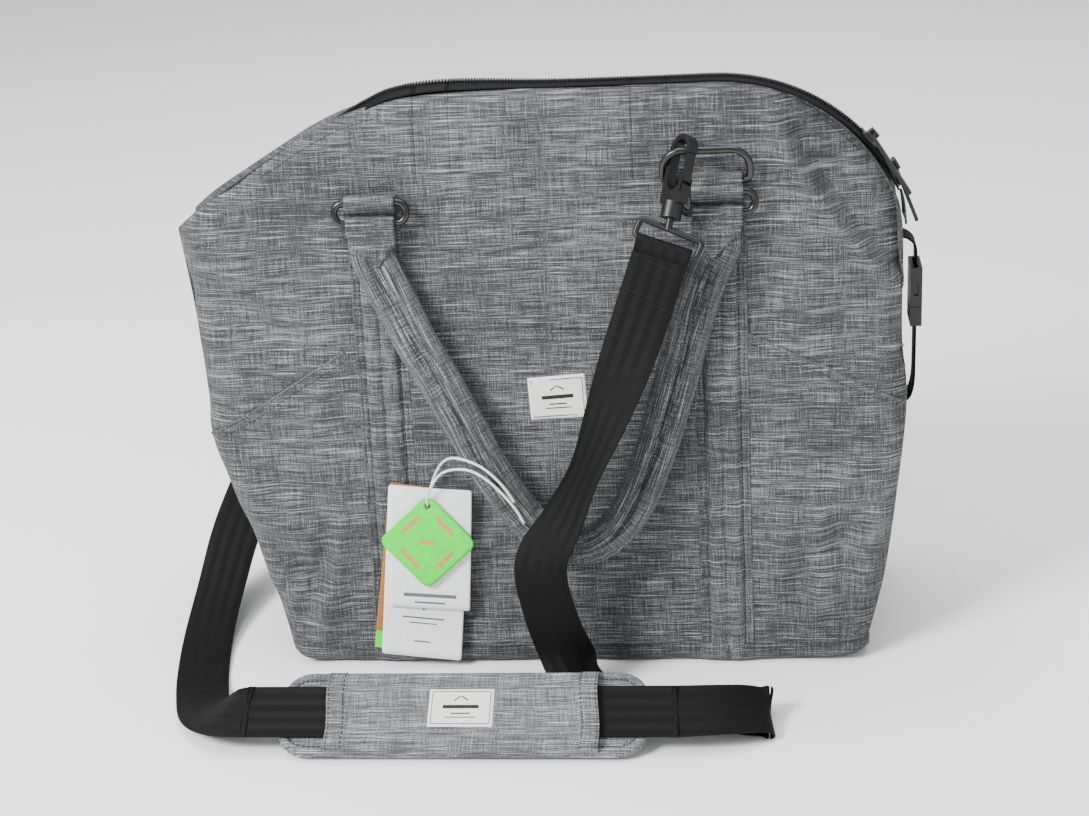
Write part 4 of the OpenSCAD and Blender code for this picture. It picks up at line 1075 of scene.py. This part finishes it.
def belt_loop(name, x_mid, width, section, front, body, material, slot="heather_fabric", rows=24):
    """A cloth loop round a bar: a closed section in (outward, up the panel), carried across the strip."""
    across = np.linspace(-width / 2, width / 2, rows)
    section = np.array(section, float)
    soft = 0.12 * np.sin(across * 1.1)[:, None]
    squeeze = np.where(np.abs(across) > width / 2 - 0.6, 0.35, 0.0)[:, None]
    centre = section.mean(0)
    out = section[None, :, 0] * (1 - squeeze * 0.12) + centre[0] * squeeze * 0.12 + soft * 0.3
    s = section[None, :, 1] * (1 - squeeze * 0.12) + centre[1] * squeeze * 0.12
    x = np.broadcast_to(x_mid + across[:, None], out.shape)
    points = half_turned(on_front(np.stack([x, -out, s], -1)), front)
    arc = run_length(np.vstack([section, section[:1]]))
    uv = np.stack(np.meshgrid(arc, across), -1)[..., ::-1] * 0.001 + 0.2
    return fit(surface(name, points, uv, wrap=True, caps=True, flip=True), material, body, slot=slot)


# The loop over each ring bar: outer face from the strip's top, over the bar and back into the seam.
for is_front in (True, False):
    way = "front" if is_front else "back"
    for side in (-1, 1):
        a = np.radians(np.linspace(-58, 176, 20))
        hoop = np.stack([9.5 + 4.5 * np.cos(a), 338.5 + 4.5 * np.sin(a)], -1)
        b = np.radians(np.linspace(176, -58, 18))
        bore = np.stack([9.5 + 2.95 * np.cos(b), 338.5 + 2.95 * np.sin(b)], -1)
        section = np.vstack([[(3.4, 325.5), (4.6, 329.0)], [(9.0, 332.6)], hoop,
                             [(2.0, 341.2), (0.3, 342.4), (0.3, 337)],
                             [(3.6, 338.0)], bore[2:14],
                             [(8.6, 334.6), (4.4, 333.0), (0.4, 330), (0.4, 325.5)]])
        belt_loop(f"{way}_ring_loop_{'left' if side < 0 else 'right'}", 118 * side, 34.4, section, is_front,
                  "bag",
                  heather_canvas)
    # the D-ring's own keeper, under the upper band on the right-hand strip as seen from that side
    a = np.radians(np.linspace(-70, 176, 18))
    keeper = np.stack([5.5 + 4.9 * np.cos(a), 345 + 4.9 * np.sin(a)], -1)
    c = np.radians(np.linspace(176, -70, 16))
    bore = np.stack([5.5 + 3.1 * np.cos(c), 345 + 3.1 * np.sin(c)], -1)
    section = np.vstack([[(0.4, 339.6)], [(5.6, 339.9)], keeper, [(0.3, 350.5), (0.3, 346.4)], bore[1:14],
                         [(4.0, 341.6), (0.5, 341.2)]])
    belt_loop(f"{way}_dee_keeper", 118, 34.0, section, is_front, "bag", heather_canvas)

# Turned hem round the foot, with its own stitching, on both faces.
for is_front in (True, False):
    way = "front" if is_front else "back"
    rim = evenly(bottom_edge, 200)
    upper = rim + np.array([0, 14.0])
    upper[:, 0] = np.clip(upper[:, 0], -206, 220.5)
    rows = np.linspace(0, 1, 12)[:, None, None]
    band = rim[None] * (1 - rows) + upper[None] * rows
    lift = (2.6 + 0.7 * np.sin(np.pi * rows[..., 0]) - 1.9 * (rows[..., 0] == 1)) * np.ones((12, 200))
    near_strip = np.exp(-((np.abs(band[..., 0]) - 118) / 17.5) ** 8)
    points = on_panel(band[..., 0], band[..., 1], lift + 1.6 * near_strip, is_front)
    hem_piece = surface(f"{way}_hem_band", points, band * 0.001 + 0.83, flip=not is_front)
    # The foot hem takes the darker canvas copy: painted shade low on the panels.
    fit(hem_piece, heather_painted_shade, "bag", slot="heather_fabric")

# Lock-stitch lines: double rows on the strips, one or two along every hem.
front_lines, back_lines = [], []
for is_front, lines in ((True, front_lines), (False, back_lines)):
    for side in (-1, 1):
        for off in (-16.0, -12.6, 12.6, 16.0):
            z = np.array([18.0, 329.0])
            lines.append((panel_line(np.full(2, 118.0 * side + off), z, 1.95, is_front), facing(is_front)))
    for rise in (15.2, 12.4):
        lines.append((panel_line(np.array([-196.0, -140.0]), np.array([rise, rise - 0.5]), 3.2, is_front),
                      facing(is_front)))
        lines.append((panel_line(np.array([-99.0, 99.0]), np.array([rise - 1.0, rise - 1.0]), 3.3,
                                 is_front),
                      facing(is_front)))
        lines.append((panel_line(np.array([140.0, 208.0]), np.array([rise - 0.5, rise]), 3.2, is_front),
                      facing(is_front)))
    top_run = top_edge[(top_edge[:, 0] > -200) & (top_edge[:, 0] < -104)] - [0, 7.5]
    lines.append((on_panel(top_run[:, 0], top_run[:, 1], 0.15, is_front), facing(is_front)))
    top_run = top_edge[(top_edge[:, 0] > 104) & (top_edge[:, 0] < 214)] - [0, 7.5]
    lines.append((on_panel(top_run[:, 0], top_run[:, 1], 0.15, is_front), facing(is_front)))
front_lines.append((panel_line(np.array([-99.0, 99.0]), np.array([236.0, 236.0]), 2.35), facing()))
for side, mouth in side_pockets.items():
    m = np.array(mouth) - [0, 5.5]
    m = m[:-1]
    run = evenly(np.vstack([m, [(238 if side == "right" else -241,
                                 m[-1, 1] - (16 if side == "right" else 20))]]), 60)
    front_lines.append((on_panel(run[:, 0], run[:, 1], 2.05), facing()))
stitches("front_stitching", front_lines, "bag")
stitches("back_stitching", back_lines, "bag")


def on_bag_label(points):
    p = np.asarray(points, float)
    a = math.radians(-3)
    x = p[..., 0] * math.cos(a) + p[..., 2] * math.sin(a) + 4
    z = -p[..., 0] * math.sin(a) + p[..., 2] * math.cos(a) + 195.2
    return on_panel(x, z, 2.2 - p[..., 1])


label("bag_woven_label", 40, 30, on_bag_label, "bag", "bag_label")

# ---------- Handles ----------
# Each handle is two cloth tubes of cord piping side by side, pinched together into one round, gathered grip
# at the bottom of the loop; its flat ends are sewn into folded tabs on the rings.
handle_stations = [
    (-118, 9.5, 316.5, 31, 9), (-118, 9.5, 310.5, 31, 9), (-118, 9.5, 300.5, 31, 9.6),
                   (-107, 11, 276, 31, 11),
    (-91, 14, 242, 30, 13.5), (-70, 16, 203, 29.5, 17), (-50, 18, 162, 28, 20.5),
                   (-28, 19, 126, 26.5, 23.5),
    (-4, 20, 101, 26.5, 24.5), (22, 20, 95, 26.5, 24.5), (46, 19, 110, 26.5, 23.5), (64, 18, 142, 28, 20.5),
    (80, 16, 188, 29.5, 17), (94, 14, 236, 30, 13.5), (106, 11, 276, 31, 11), (118, 9.5, 300.5, 31, 9.6),
    (118, 9.5, 310.5, 31, 9), (118, 9.5, 316.5, 31, 9)]
handle_curve = catmull(handle_stations, 14)


def handle(front):
    """The section turns from two joined lobes to one round: a Gaussian valley down the middle fades out
    towards the grip, where gathers run along the cord's length."""
    way = "front" if front else "back"
    mid = handle_curve[:, [0, 2]]
    t = unit(np.gradient(mid, axis=0))
    at = run_length(mid)
    whole = at[-1]
    angle = np.linspace(0, 2 * np.pi, 56, endpoint=False)[None, :]
    half_w, half_t = handle_curve[:, 3:4] / 2, handle_curve[:, 4:5] / 2
    grip = np.clip((np.minimum(at, whole - at) - 195) / 55, 0, 1)[:, None]
    grip = grip * grip * (3 - 2 * grip)
    power = 0.72 + 0.28 * grip
    u = np.sign(np.cos(angle)) * np.abs(np.cos(angle)) ** power
    v = np.sign(np.sin(angle)) * np.abs(np.sin(angle)) ** power
    valley = 1 - (0.68 * (1 - grip) + 0.05) * np.exp(-(u / 0.13) ** 2)
    lobes = 1 - (0.10 * (1 - grip)) * np.exp(-((np.abs(u) - 1.0) / 0.2) ** 2)
    gather = (0.75 * np.sin(at[:, None] * 0.95 + 3 * np.sin(angle * 2) + 1.3 * np.sin(at[:, None] * 0.21))
              * np.exp(-((np.minimum(at, whole - at)[:, None] - 232) / 26) ** 2))
    long_folds = (0.8 * np.sin(angle * 7 + at[:, None] * 0.045) * grip
                  * np.exp(-((at[:, None] - whole / 2) / 90) ** 2))
    soft = 0.25 * np.sin(at[:, None] * 0.13 + angle)
    w = u * half_w + (gather + long_folds + soft) * np.cos(angle)
    d = v * half_t * valley * lobes + (gather + long_folds + soft) * np.sin(angle)
    x = mid[:, :1] - t[:, 1:] * w
    s = mid[:, 1:] + t[:, :1] * w
    y = -handle_curve[:, 1:2] + d
    points = half_turned(on_front(np.stack([x, y, s], -1)), front)
    around = np.linspace(0, 82, 57)[None, :] * np.ones((len(at), 1))
    uv = np.stack([np.broadcast_to(at[:, None], around.shape), around], -1) * 0.001 + 0.45
    piece = surface(f"{way}_handle_cloth", points, uv, wrap=True, caps=True, flip=True)
    fit(piece, heather_canvas, f"{way}_handle", f"{way}_handle", slot="heather_fabric")
    lines = []
    for column in (39, 45):
        keep = (np.minimum(at, whole - at) > 26) & (np.minimum(at, whole - at) < 205)
        for part in (keep & (at < whole / 2), keep & (at > whole / 2)):
            lines.append((points[part, column], facing(front)))
    return lines


def tab(front, side):
    """A folded tab: two layers from the ring's lower bar, the front one ending in a sewn point."""
    way = "front" if front else "back"
    end = "left" if side < 0 else "right"
    lower = 324.5
    a = np.radians(np.linspace(-30, 210, 22))
    hoop = np.stack([9.5 + 4.5 * np.cos(a), lower + 4.5 * np.sin(a)], -1)
    b = np.radians(np.linspace(210, -30, 18))
    bore = np.stack([9.5 + 2.95 * np.cos(b), lower + 2.95 * np.sin(b)], -1)
    section = np.vstack([[(15.2, 315.5), (14.9, 319)], hoop, [(4.1, 319), (3.9, 315.5)],
                         [(5.3, 315.5), (5.6, 319.5)],
                         bore, [(13.2, 319.5), (13.6, 315.5)]])
    belt_loop(f"{way}_tab_loop_{end}", 118 * side, 33.6, section, front, f"{way}_handle", heather_canvas)
    # the flat face below the loop, narrowing to a point
    rows, cols = 26, 33
    down = np.linspace(0, 1, rows)[:, None]
    k = np.linspace(-1, 1, cols)[None, :]
    half = np.where(down < 0.32, 16.4, 16.4 * (1 - (down - 0.32) / 0.68) + 0.6)
    z = 320 - 26 * down
    lean_in = (320 - z) * 0.16 * (-side)
    x = 118 * side + k * half + lean_in
    out = 15.6 + 0.35 * np.cos(k * 1.4) - 0.9 * (np.abs(k) ** 6) + 0.012 * (320 - z)
    pts = half_turned(on_front(np.stack([np.broadcast_to(x, (rows, cols)),
                                         -np.broadcast_to(out, (rows, cols)),
                                         np.broadcast_to(z, (rows, cols))], -1)), front)
    uv = np.stack([np.broadcast_to(x, (rows, cols)), np.broadcast_to(z, (rows, cols))], -1) * 0.001 + 0.77
    face = surface(f"{way}_tab_point_{end}", pts, uv, flip=True)
    wall = face.modifiers.new("cloth", "SOLIDIFY")
    wall.thickness, wall.offset = 0.0016, -1
    fit(face, heather_canvas, f"{way}_handle", slot="heather_fabric")
    return face, [(pts[9:-1, 2], facing(front)), (pts[9:-1, -3], facing(front)),
                  (pts[8, 2:-2], facing(front)), (pts[2, 2:-2], facing(front))]


for is_front in (True, False):
    way = "front" if is_front else "back"
    handle_lines = handle(is_front)
    (left_tab, left_lines), (_, right_lines) = [tab(is_front, side) for side in (-1, 1)]
    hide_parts(f"{way}_handle_tabs")
    stitches(f"{way}_handle_stitching", handle_lines + left_lines + right_lines, f"{way}_handle")

# ---------- Zip ----------
# A black nylon coil zip: two knitted tapes with a continuous coil sewn to each, over the top and shoulders.
zip_knit = webbing_finish("black_knitted_zip_tape", 0.5, "#020202", "#0b0b0c")
coil_nylon, tree, shader = finish_of("black_nylon_coil",
                                     {"Roughness": 0.32, "Base Color": linear("#060606")})
coil_coords = add(tree, "ShaderNodeTexCoord")
coil_grain = add(tree, "ShaderNodeTexNoise", {"Scale": 500.0}, {"Vector": coil_coords.outputs["Object"]})
coil_tone = add(tree, "ShaderNodeValToRGB", links={"Fac": coil_grain.outputs["Fac"]})
coil_tone.color_ramp.elements[0].color = linear("#030303")
coil_tone.color_ramp.elements[1].color = linear("#0c0c0d")
tree.links.new(coil_tone.outputs[0], shader.inputs["Base Color"])

zip_line = top_edge.copy()
zip_sink = np.interp(zip_line[:, 0], [-258, -200, -150, -105, 300], [12, 13, 9, 1.0, 0.0])
zip_line[:, 1] -= zip_sink
zip_line = zip_line[(zip_line[:, 0] > -252) & ~((zip_line[:, 0] > 200) & (zip_line[:, 1] < 322))]


def zip_half(name, line, front, body, *nodes):
    """One tape, from the panel's edge to the middle, and its coil: every tooth is a small bent loop."""
    line = evenly(line, max(int(run_length(line)[-1] / 3), 6))
    side = -1 if front else 1
    half = BASE_HALF_DEPTH - 70 / 404 * line[:, 1:] - 7.0
    wide = np.minimum(half + 1.0, 12.5)
    k = np.linspace(0, 1, 12)[None, :]
    y = 0.7 + (wide - 0.7) * k
    normal = unit(np.column_stack([-np.gradient(line[:, 1]), np.gradient(line[:, 0])]))
    stood = 4.5 * np.exp(-((line[:, :1] + 75) / 60) ** 2) * (line[:, 1:] > 350)
    round_off = np.sqrt(np.clip(1 - (y / (half + 1.5)) ** 2, 0, 1))
    rise = (3.3 * np.clip(half / 20, 0.35, 1) + stood) * round_off + 0.8
    px, pz = line[:, :1] + normal[:, :1] * rise, line[:, 1:] + normal[:, 1:] * rise
    points = np.stack([px, side * y, pz], -1)
    run = run_length(line)[:, None]
    uv = np.stack([np.broadcast_to(y, px.shape), np.broadcast_to(run, px.shape)], -1) * 0.001
    tape = surface(name + "_tape", points, uv, flip=not front)
    wall = tape.modifiers.new("tape", "SOLIDIFY")
    wall.thickness, wall.offset = 0.0009, -1
    fit(tape, zip_knit, body, *nodes[:1], slot="zip_black")
    crest = evenly(np.column_stack([px[:, 0], pz[:, 0]]), max(int(run[-1, 0] / 1.9), 4))
    n = unit(np.column_stack([-np.gradient(crest[:, 1]), np.gradient(crest[:, 0])]))
    t = np.column_stack([n[:, 1], -n[:, 0]])
    loop = np.array([(0.15, 0.2), (0.5, 1.15), (1.6, 1.5), (2.9, 1.2), (3.2, 0.1)])
    verts = []
    ring = np.array([(0.55, 0), (0, 0.5), (-0.55, 0), (0, -0.5)])
    count = len(crest)
    for j, (across, up) in enumerate(loop):
        for along, lift in ring:
            height = up + lift * (0.6 if j in (0, 4) else 1.0)
            p = crest + n * height + t * along
            verts.append(np.column_stack([p[:, 0], np.full(count, side * across), p[:, 1]]))
    verts = np.stack(verts, 1).reshape(-1, 3)
    quads = [(4 * j + a, 4 * j + (a + 1) % 4, 4 * j + 4 + (a + 1) % 4,
              4 * j + 4 + a) for j in range(4) for a in range(4)]
    quads += [(3, 2, 1, 0), (16, 17, 18, 19)]
    quads = np.array(quads) if front else np.array(quads)[:, ::-1]
    faces = (quads[None] + 20 * np.arange(count)[:, None, None]).reshape(-1, 4)
    mesh = bpy.data.meshes.new(name + "_coil")
    mesh.from_pydata((verts * 0.001).tolist(), [], faces.tolist())
    mesh.polygons.foreach_set("use_smooth", np.ones(len(faces), bool))
    mesh.update()
    coil = bpy.data.objects.new(name + "_coil", mesh)
    bpy.context.scene.collection.objects.link(coil)
    fit(coil, coil_nylon, body, *nodes[1:], slot="zip_black")
    return tape, coil


lip_edge = LIP_HALF + LIP_SPREAD
for is_front in (True, False):
    way = "front" if is_front else "back"
    x = zip_line[:, 0]

    def cut(x0, x1):
        ends = [(v, np.interp(v, x, zip_line[:, 1])) for v in (x0, x1)]
        inside = zip_line[(x > x0) & (x < x1)]
        return np.vstack([ends[:1], inside, ends[1:]])

    zip_half(f"{way}_zip_middle", cut(-LIP_HALF, LIP_HALF), is_front, f"{way}_lip", f"{way}_zip_tape",
             f"{way}_zip_coil")
    for part, x0, x1, sign in (("left", -lip_edge, -LIP_HALF, -1), ("right", LIP_HALF, lip_edge, 1)):
        for piece in zip_half(f"{way}_zip_spread_{part}", cut(x0, x1), is_front, None):
            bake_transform(piece)
    left_run = np.vstack([zip_line[x < -lip_edge], [(-lip_edge, np.interp(-lip_edge, x, zip_line[:, 1]))]])
    right_run = np.vstack([[(lip_edge, np.interp(lip_edge, x, zip_line[:, 1]))], zip_line[x > lip_edge]])
    nodes = ("zip_ends",) if is_front else ()
    zip_half(f"{way}_zip_left", left_run, is_front, "bag", *nodes)
    zip_half(f"{way}_zip_right", right_run, is_front, "bag")

# Folded canvas tabs close the two ends of the zip.
for side in (-1, 1):
    line = right_line if side > 0 else left_line
    at = run_length(line)
    tab_z = (300, 318) if side > 0 else (306, 322)
    run = evenly(line[(line[:, 1] > tab_z[0]) & (line[:, 1] < tab_z[1]) & (np.abs(line[:, 0]) > 200)], 10)
    y = np.linspace(-13, 13, 21)[None, :]
    rise = (4.6 if side > 0 else -9.0) + 0.6 * np.cos(y / 13 * 1.4)
    px = run[:, :1] + side * rise
    points = np.stack([px, np.broadcast_to(y, px.shape), np.broadcast_to(run[:, 1:], px.shape)], -1)
    uv = np.stack([np.broadcast_to(y, px.shape), np.broadcast_to(run_length(run)[:, None], px.shape)],
                  -1) * 0.001 + 0.9
    end_tab = surface("zip_end_tab_right" if side > 0 else "zip_end_tab_left", points, uv, flip=side < 0)
    wall = end_tab.modifiers.new("cloth", "SOLIDIFY")
    wall.thickness, wall.offset = 0.0016, -1
    # The end tabs take the darker canvas copy: painted shade in the recessed shoulders.
    fit(end_tab, heather_painted_shade, "bag", *(("zip_end_tabs",) if side > 0 else ()), slot="heather_fabric")

# ---------- Lining, inner pocket and board ----------
# Plain dark polyester lining hangs inside the shell from a seam below the zip.
lining_cloth = canvas("dark_polyester_lining", "#08090a", "#121315", "#202225", contrast=0.5)
lining_z = np.concatenate([[8.6], np.linspace(10, 338, 60)])
lining_angle = np.linspace(0, 2 * np.pi, 160, endpoint=False)[None, :]
lining_left = np.interp(lining_z, outline_left[order_left, 1], outline_left[order_left, 0])[:, None] + 16
lining_right = np.interp(lining_z, outline_right[order_right, 1], outline_right[order_right, 0])[:,
        None] - 13
c, s = np.cos(lining_angle), np.sin(lining_angle)
cx = np.sign(c) * np.abs(c) ** 0.22
sy = np.sign(s) * np.abs(s) ** 0.22
lx = (lining_left + lining_right) / 2 + (lining_right - lining_left) / 2 * cx
lz = np.broadcast_to(lining_z[:, None], lx.shape)
lining_half = BASE_HALF_DEPTH - 70 / 404 * lz - 9.0 - 10 * np.clip((lz - 225) / 40, 0, 1)
ly = lining_half * sy
lining_points = np.stack([lx, ly, lz], -1)
lining_points = np.concatenate([np.stack([np.zeros_like(lx[:1]), ly[:1] * 0, lz[:1]], -1) + [5, 0, 0],
                                lining_points])
lining_uv = np.stack([np.broadcast_to(np.linspace(0, 1200, 161)[None, :], (len(lining_points), 161)),
                      np.broadcast_to(np.concatenate([[-60], lining_z])[:, None],
                                      (len(lining_points), 161))], -1) * 0.001
lining_piece = surface("lining_bucket", lining_points, lining_uv, wrap=True)
fit(lining_piece, lining_cloth, "bag", "lining", slot="lining_fabric")
pocket_x, pocket_z = np.meshgrid(np.linspace(-99, 99, 60), np.linspace(62, 187, 40))
pocket_y = BASE_HALF_DEPTH - 70 / 404 * pocket_z - 13.5 - 1.6 * np.cos(pocket_x / 99
        * 1.4) + 0.4 * np.sin(pocket_x * 0.11)
inner = surface("inner_pocket_cloth", np.stack([pocket_x, pocket_y, pocket_z], -1),
                np.stack([pocket_x, pocket_z], -1) * 0.001 + 3.0)
inner_wall = inner.modifiers.new("cloth", "SOLIDIFY")
inner_wall.thickness, inner_wall.offset = 0.001, 0
fit(inner, lining_cloth, "bag", "inner_pocket", slot="lining_fabric")
board_grey = paper("grey_fibre_board", "#1b1d20", "#2a2c30", 0.8, 0.002)


def refinish(material, *nodes):
    """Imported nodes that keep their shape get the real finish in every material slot."""
    for name in nodes:
        node_object = bpy.data.objects[name]
        for k in range(max(len(node_object.material_slots), 1)):
            if node_object.material_slots:
                node_object.material_slots[k].material = material
            else:
                node_object.data.materials.append(material)


refinish(board_grey, "base_board")


# ---------- Hardware ----------
# Rings and D-rings are steel wire with a semi-gloss black coat; hooks, buckles and adjuster are moulded
# acetal, slightly matt from the mould; the sliders are die-cast with the same black coat.
def hard_finish(name, base, worn, roughness, grain, bump, coat=0.0):
    material, tree, shader = finish_of(name, {"Roughness": roughness, "Coat Weight": coat,
                                              "Coat Roughness": 0.2})
    coords = add(tree, "ShaderNodeTexCoord")
    fine = add(tree, "ShaderNodeTexNoise", {"Scale": 1 / grain, "Detail": 3.0},
               {"Vector": coords.outputs["Object"]})
    broad = add(tree, "ShaderNodeTexNoise", {"Scale": 90.0, "Detail": 2.0},
                {"Vector": coords.outputs["Object"]})
    tone = add(tree, "ShaderNodeValToRGB", links={"Fac": broad.outputs["Fac"]})
    tone.color_ramp.elements[0].color = linear(base)
    tone.color_ramp.elements[1].color = linear(worn)
    rough = add(tree, "ShaderNodeMapRange", {3: roughness - 0.08, 4: roughness + 0.1},
                {0: broad.outputs["Fac"]})
    texture = add(tree, "ShaderNodeBump", {"Strength": bump, "Distance": 0.0002},
                  {"Height": fine.outputs["Fac"]})
    tree.links.new(tone.outputs[0], shader.inputs["Base Color"])
    tree.links.new(rough.outputs[0], shader.inputs["Roughness"])
    tree.links.new(texture.outputs[0], shader.inputs["Normal"])
    return material


coated_steel = hard_finish("black_coated_steel", "#030303", "#0b0b0c", 0.3, 0.0009, 0.08, coat=0.3)
black_acetal = hard_finish("moulded_black_acetal", "#040404", "#0d0d0e", 0.42, 0.0006, 0.25)
refinish(coated_steel, "front_ring_left", "front_ring_right", "back_ring_left", "back_ring_right",
         "slider_upper",
         "slider_lower")


def dee_ring(front):
    """A D-ring of 5 mm bent wire: a straight foot in the keeper and an arch with wide round shoulders."""
    half, tall, foot, shoulder = 29, 23, 5, 13
    a = np.radians(np.linspace(0, 90, 12))
    right = np.vstack([
        [(0, 0)], np.stack([half - foot + foot * np.sin(a), foot - foot * np.cos(a)], -1),
        np.stack([half - shoulder + shoulder * np.cos(a), tall - shoulder + shoulder * np.sin(a)], -1)])
    line = np.vstack([right, right[:0:-1] * [-1, 1], [(0, 0)]])
    at = run_length(line)
    even = np.linspace(0, at[-1], 150)[:-1]
    flat = np.stack([np.interp(even, at, line[:, k]) for k in (0, 1)], -1)
    tilt = math.radians(20)
    t = unit(np.roll(flat, -1, 0) - np.roll(flat, 1, 0))
    angle = np.linspace(0, 2 * np.pi, 14, endpoint=False)[None, :]
    wide = 2.5 * np.cos(angle)
    w = flat[:, None] + wide[..., None] * np.stack([t[:, 1], -t[:, 0]], -1)[:, None]
    deep = np.broadcast_to(2.3 * np.sin(angle), w.shape[:2])
    x = 111 + w[..., 0]
    s = 345 + w[..., 1] * math.cos(tilt) - deep * math.sin(tilt)
    y = -5.5 - w[..., 1] * math.sin(tilt) - deep * math.cos(tilt)
    points = half_turned(on_front(np.stack([x, y, s], -1)), front)
    points = np.concatenate([points, points[:1]])
    uv = np.stack(np.meshgrid(np.linspace(0, 0.016, 15), np.linspace(0, 0.16, len(points))), -1)
    way = "front" if front else "back"
    made = surface(f"{way}_dee_wire", points, uv, wrap=True)
    mesh = bmesh.new()
    mesh.from_mesh(made.data)
    bmesh.ops.remove_doubles(mesh, verts=mesh.verts, dist=1e-7)
    bmesh.ops.recalc_face_normals(mesh, faces=mesh.faces)
    mesh.to_mesh(made.data)
    mesh.free()
    return fit(made, coated_steel, "bag", f"{way}_dee_ring")


for is_front in (True, False):
    dee_ring(is_front)
refinish(black_acetal, "front_hook_body", "front_hook_gate", "front_hook_eye", "back_hook_body",
         "back_hook_gate",
         "back_hook_eye", "strap_adjuster", "right_buckle_socket", "right_buckle_plug",
         "left_buckle_socket",
         "left_buckle_plug")

# ---------- Side straps and zip pulls ----------
# Narrow webbing holds each cinch buckle; the zip pulls are moulded.
narrow_webbing = webbing_finish("narrow_black_webbing", 0.0095, "#020202", "#0b0b0c")
for side in (-1, 1):
    middle = 252.2
    top_points = [(middle, 262.5), (middle, 276), (middle - 1.4, 284), (middle - 7, 289),
                  (middle - 14, 290)]
    low_points = [(middle, 228.5), (middle, 200), (middle - 0.6, 180), (middle - 4, 169),
                  (middle - 13, 165)]
    for part, pts in (("upper", top_points), ("lower", low_points)):
        path = catmull(pts, 8)
        centre = np.column_stack([path[:, 0] * side, np.zeros(len(path)), path[:, 1]])
        band = ribbon(f"side_strap_{part}_{'right' if side > 0 else 'left'}", centre,
                      np.broadcast_to([0.0, 1.0, 0.0], centre.shape), 19, 1.5)
        nodes = ("side_straps",) if side > 0 and part == "upper" else ()
        fit(band, narrow_webbing, "bag" if part == "upper" else None, *nodes, slot="webbing")
        if part == "lower":
            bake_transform(band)


refinish(black_acetal, "pull_upper", "pull_lower")

# ---------- Floor and light ----------
# A plain pale floor and three soft lamps round the bag, as in a small product studio.
floor_paper, tree, shader = finish_of("pale_floor", {"Roughness": 0.9, "Base Color": linear("#fafafa")})
floor_mesh = bpy.data.meshes.new("floor")
floor_mesh.from_pydata([(-6, -6, -0.0005), (6, -6, -0.0005), (6, 6, -0.0005), (-6, 6, -0.0005)], [],
                       [(0, 1, 2, 3)])
floor_mesh.materials.append(floor_paper)
floor = bpy.data.objects.new("floor", floor_mesh)
bpy.context.scene.collection.objects.link(floor)
for name, place, aim, size, watts in (("key", (-1.5, -1.3, 1.7), (0, 0, 0.15), 0.8, 105),
                                      ("fill", (1.7, -1.5, 1.1), (0, 0, 0.2), 1.8, 10),
                                      ("top", (0.1, 0.4, 2.4), (0, 0, 0.2), 2.0, 60)):
    lamp_data = bpy.data.lights.new(name, "AREA")
    lamp_data.shape = "SQUARE"
    lamp_data.size = size
    lamp_data.energy = watts
    lamp = bpy.data.objects.new(name, lamp_data)
    down = np.array(place, float) - np.array(aim, float)
    down /= np.linalg.norm(down)
    side_way = np.cross([0, 0, 1.0], down)
    side_way /= np.linalg.norm(side_way)
    turn = np.eye(4)
    turn[:3, 0], turn[:3, 1], turn[:3, 2], turn[:3, 3] = side_way, np.cross(down, side_way), down, place
    lamp.matrix_world = Matrix(turn.tolist())
    bpy.context.scene.collection.objects.link(lamp)
world = bpy.data.worlds.new("studio")
world.use_nodes = True
world.node_tree.nodes["Background"].inputs[0].default_value = linear("#ffffff")
world.node_tree.nodes["Background"].inputs[1].default_value = 0.62
bpy.context.scene.world = world
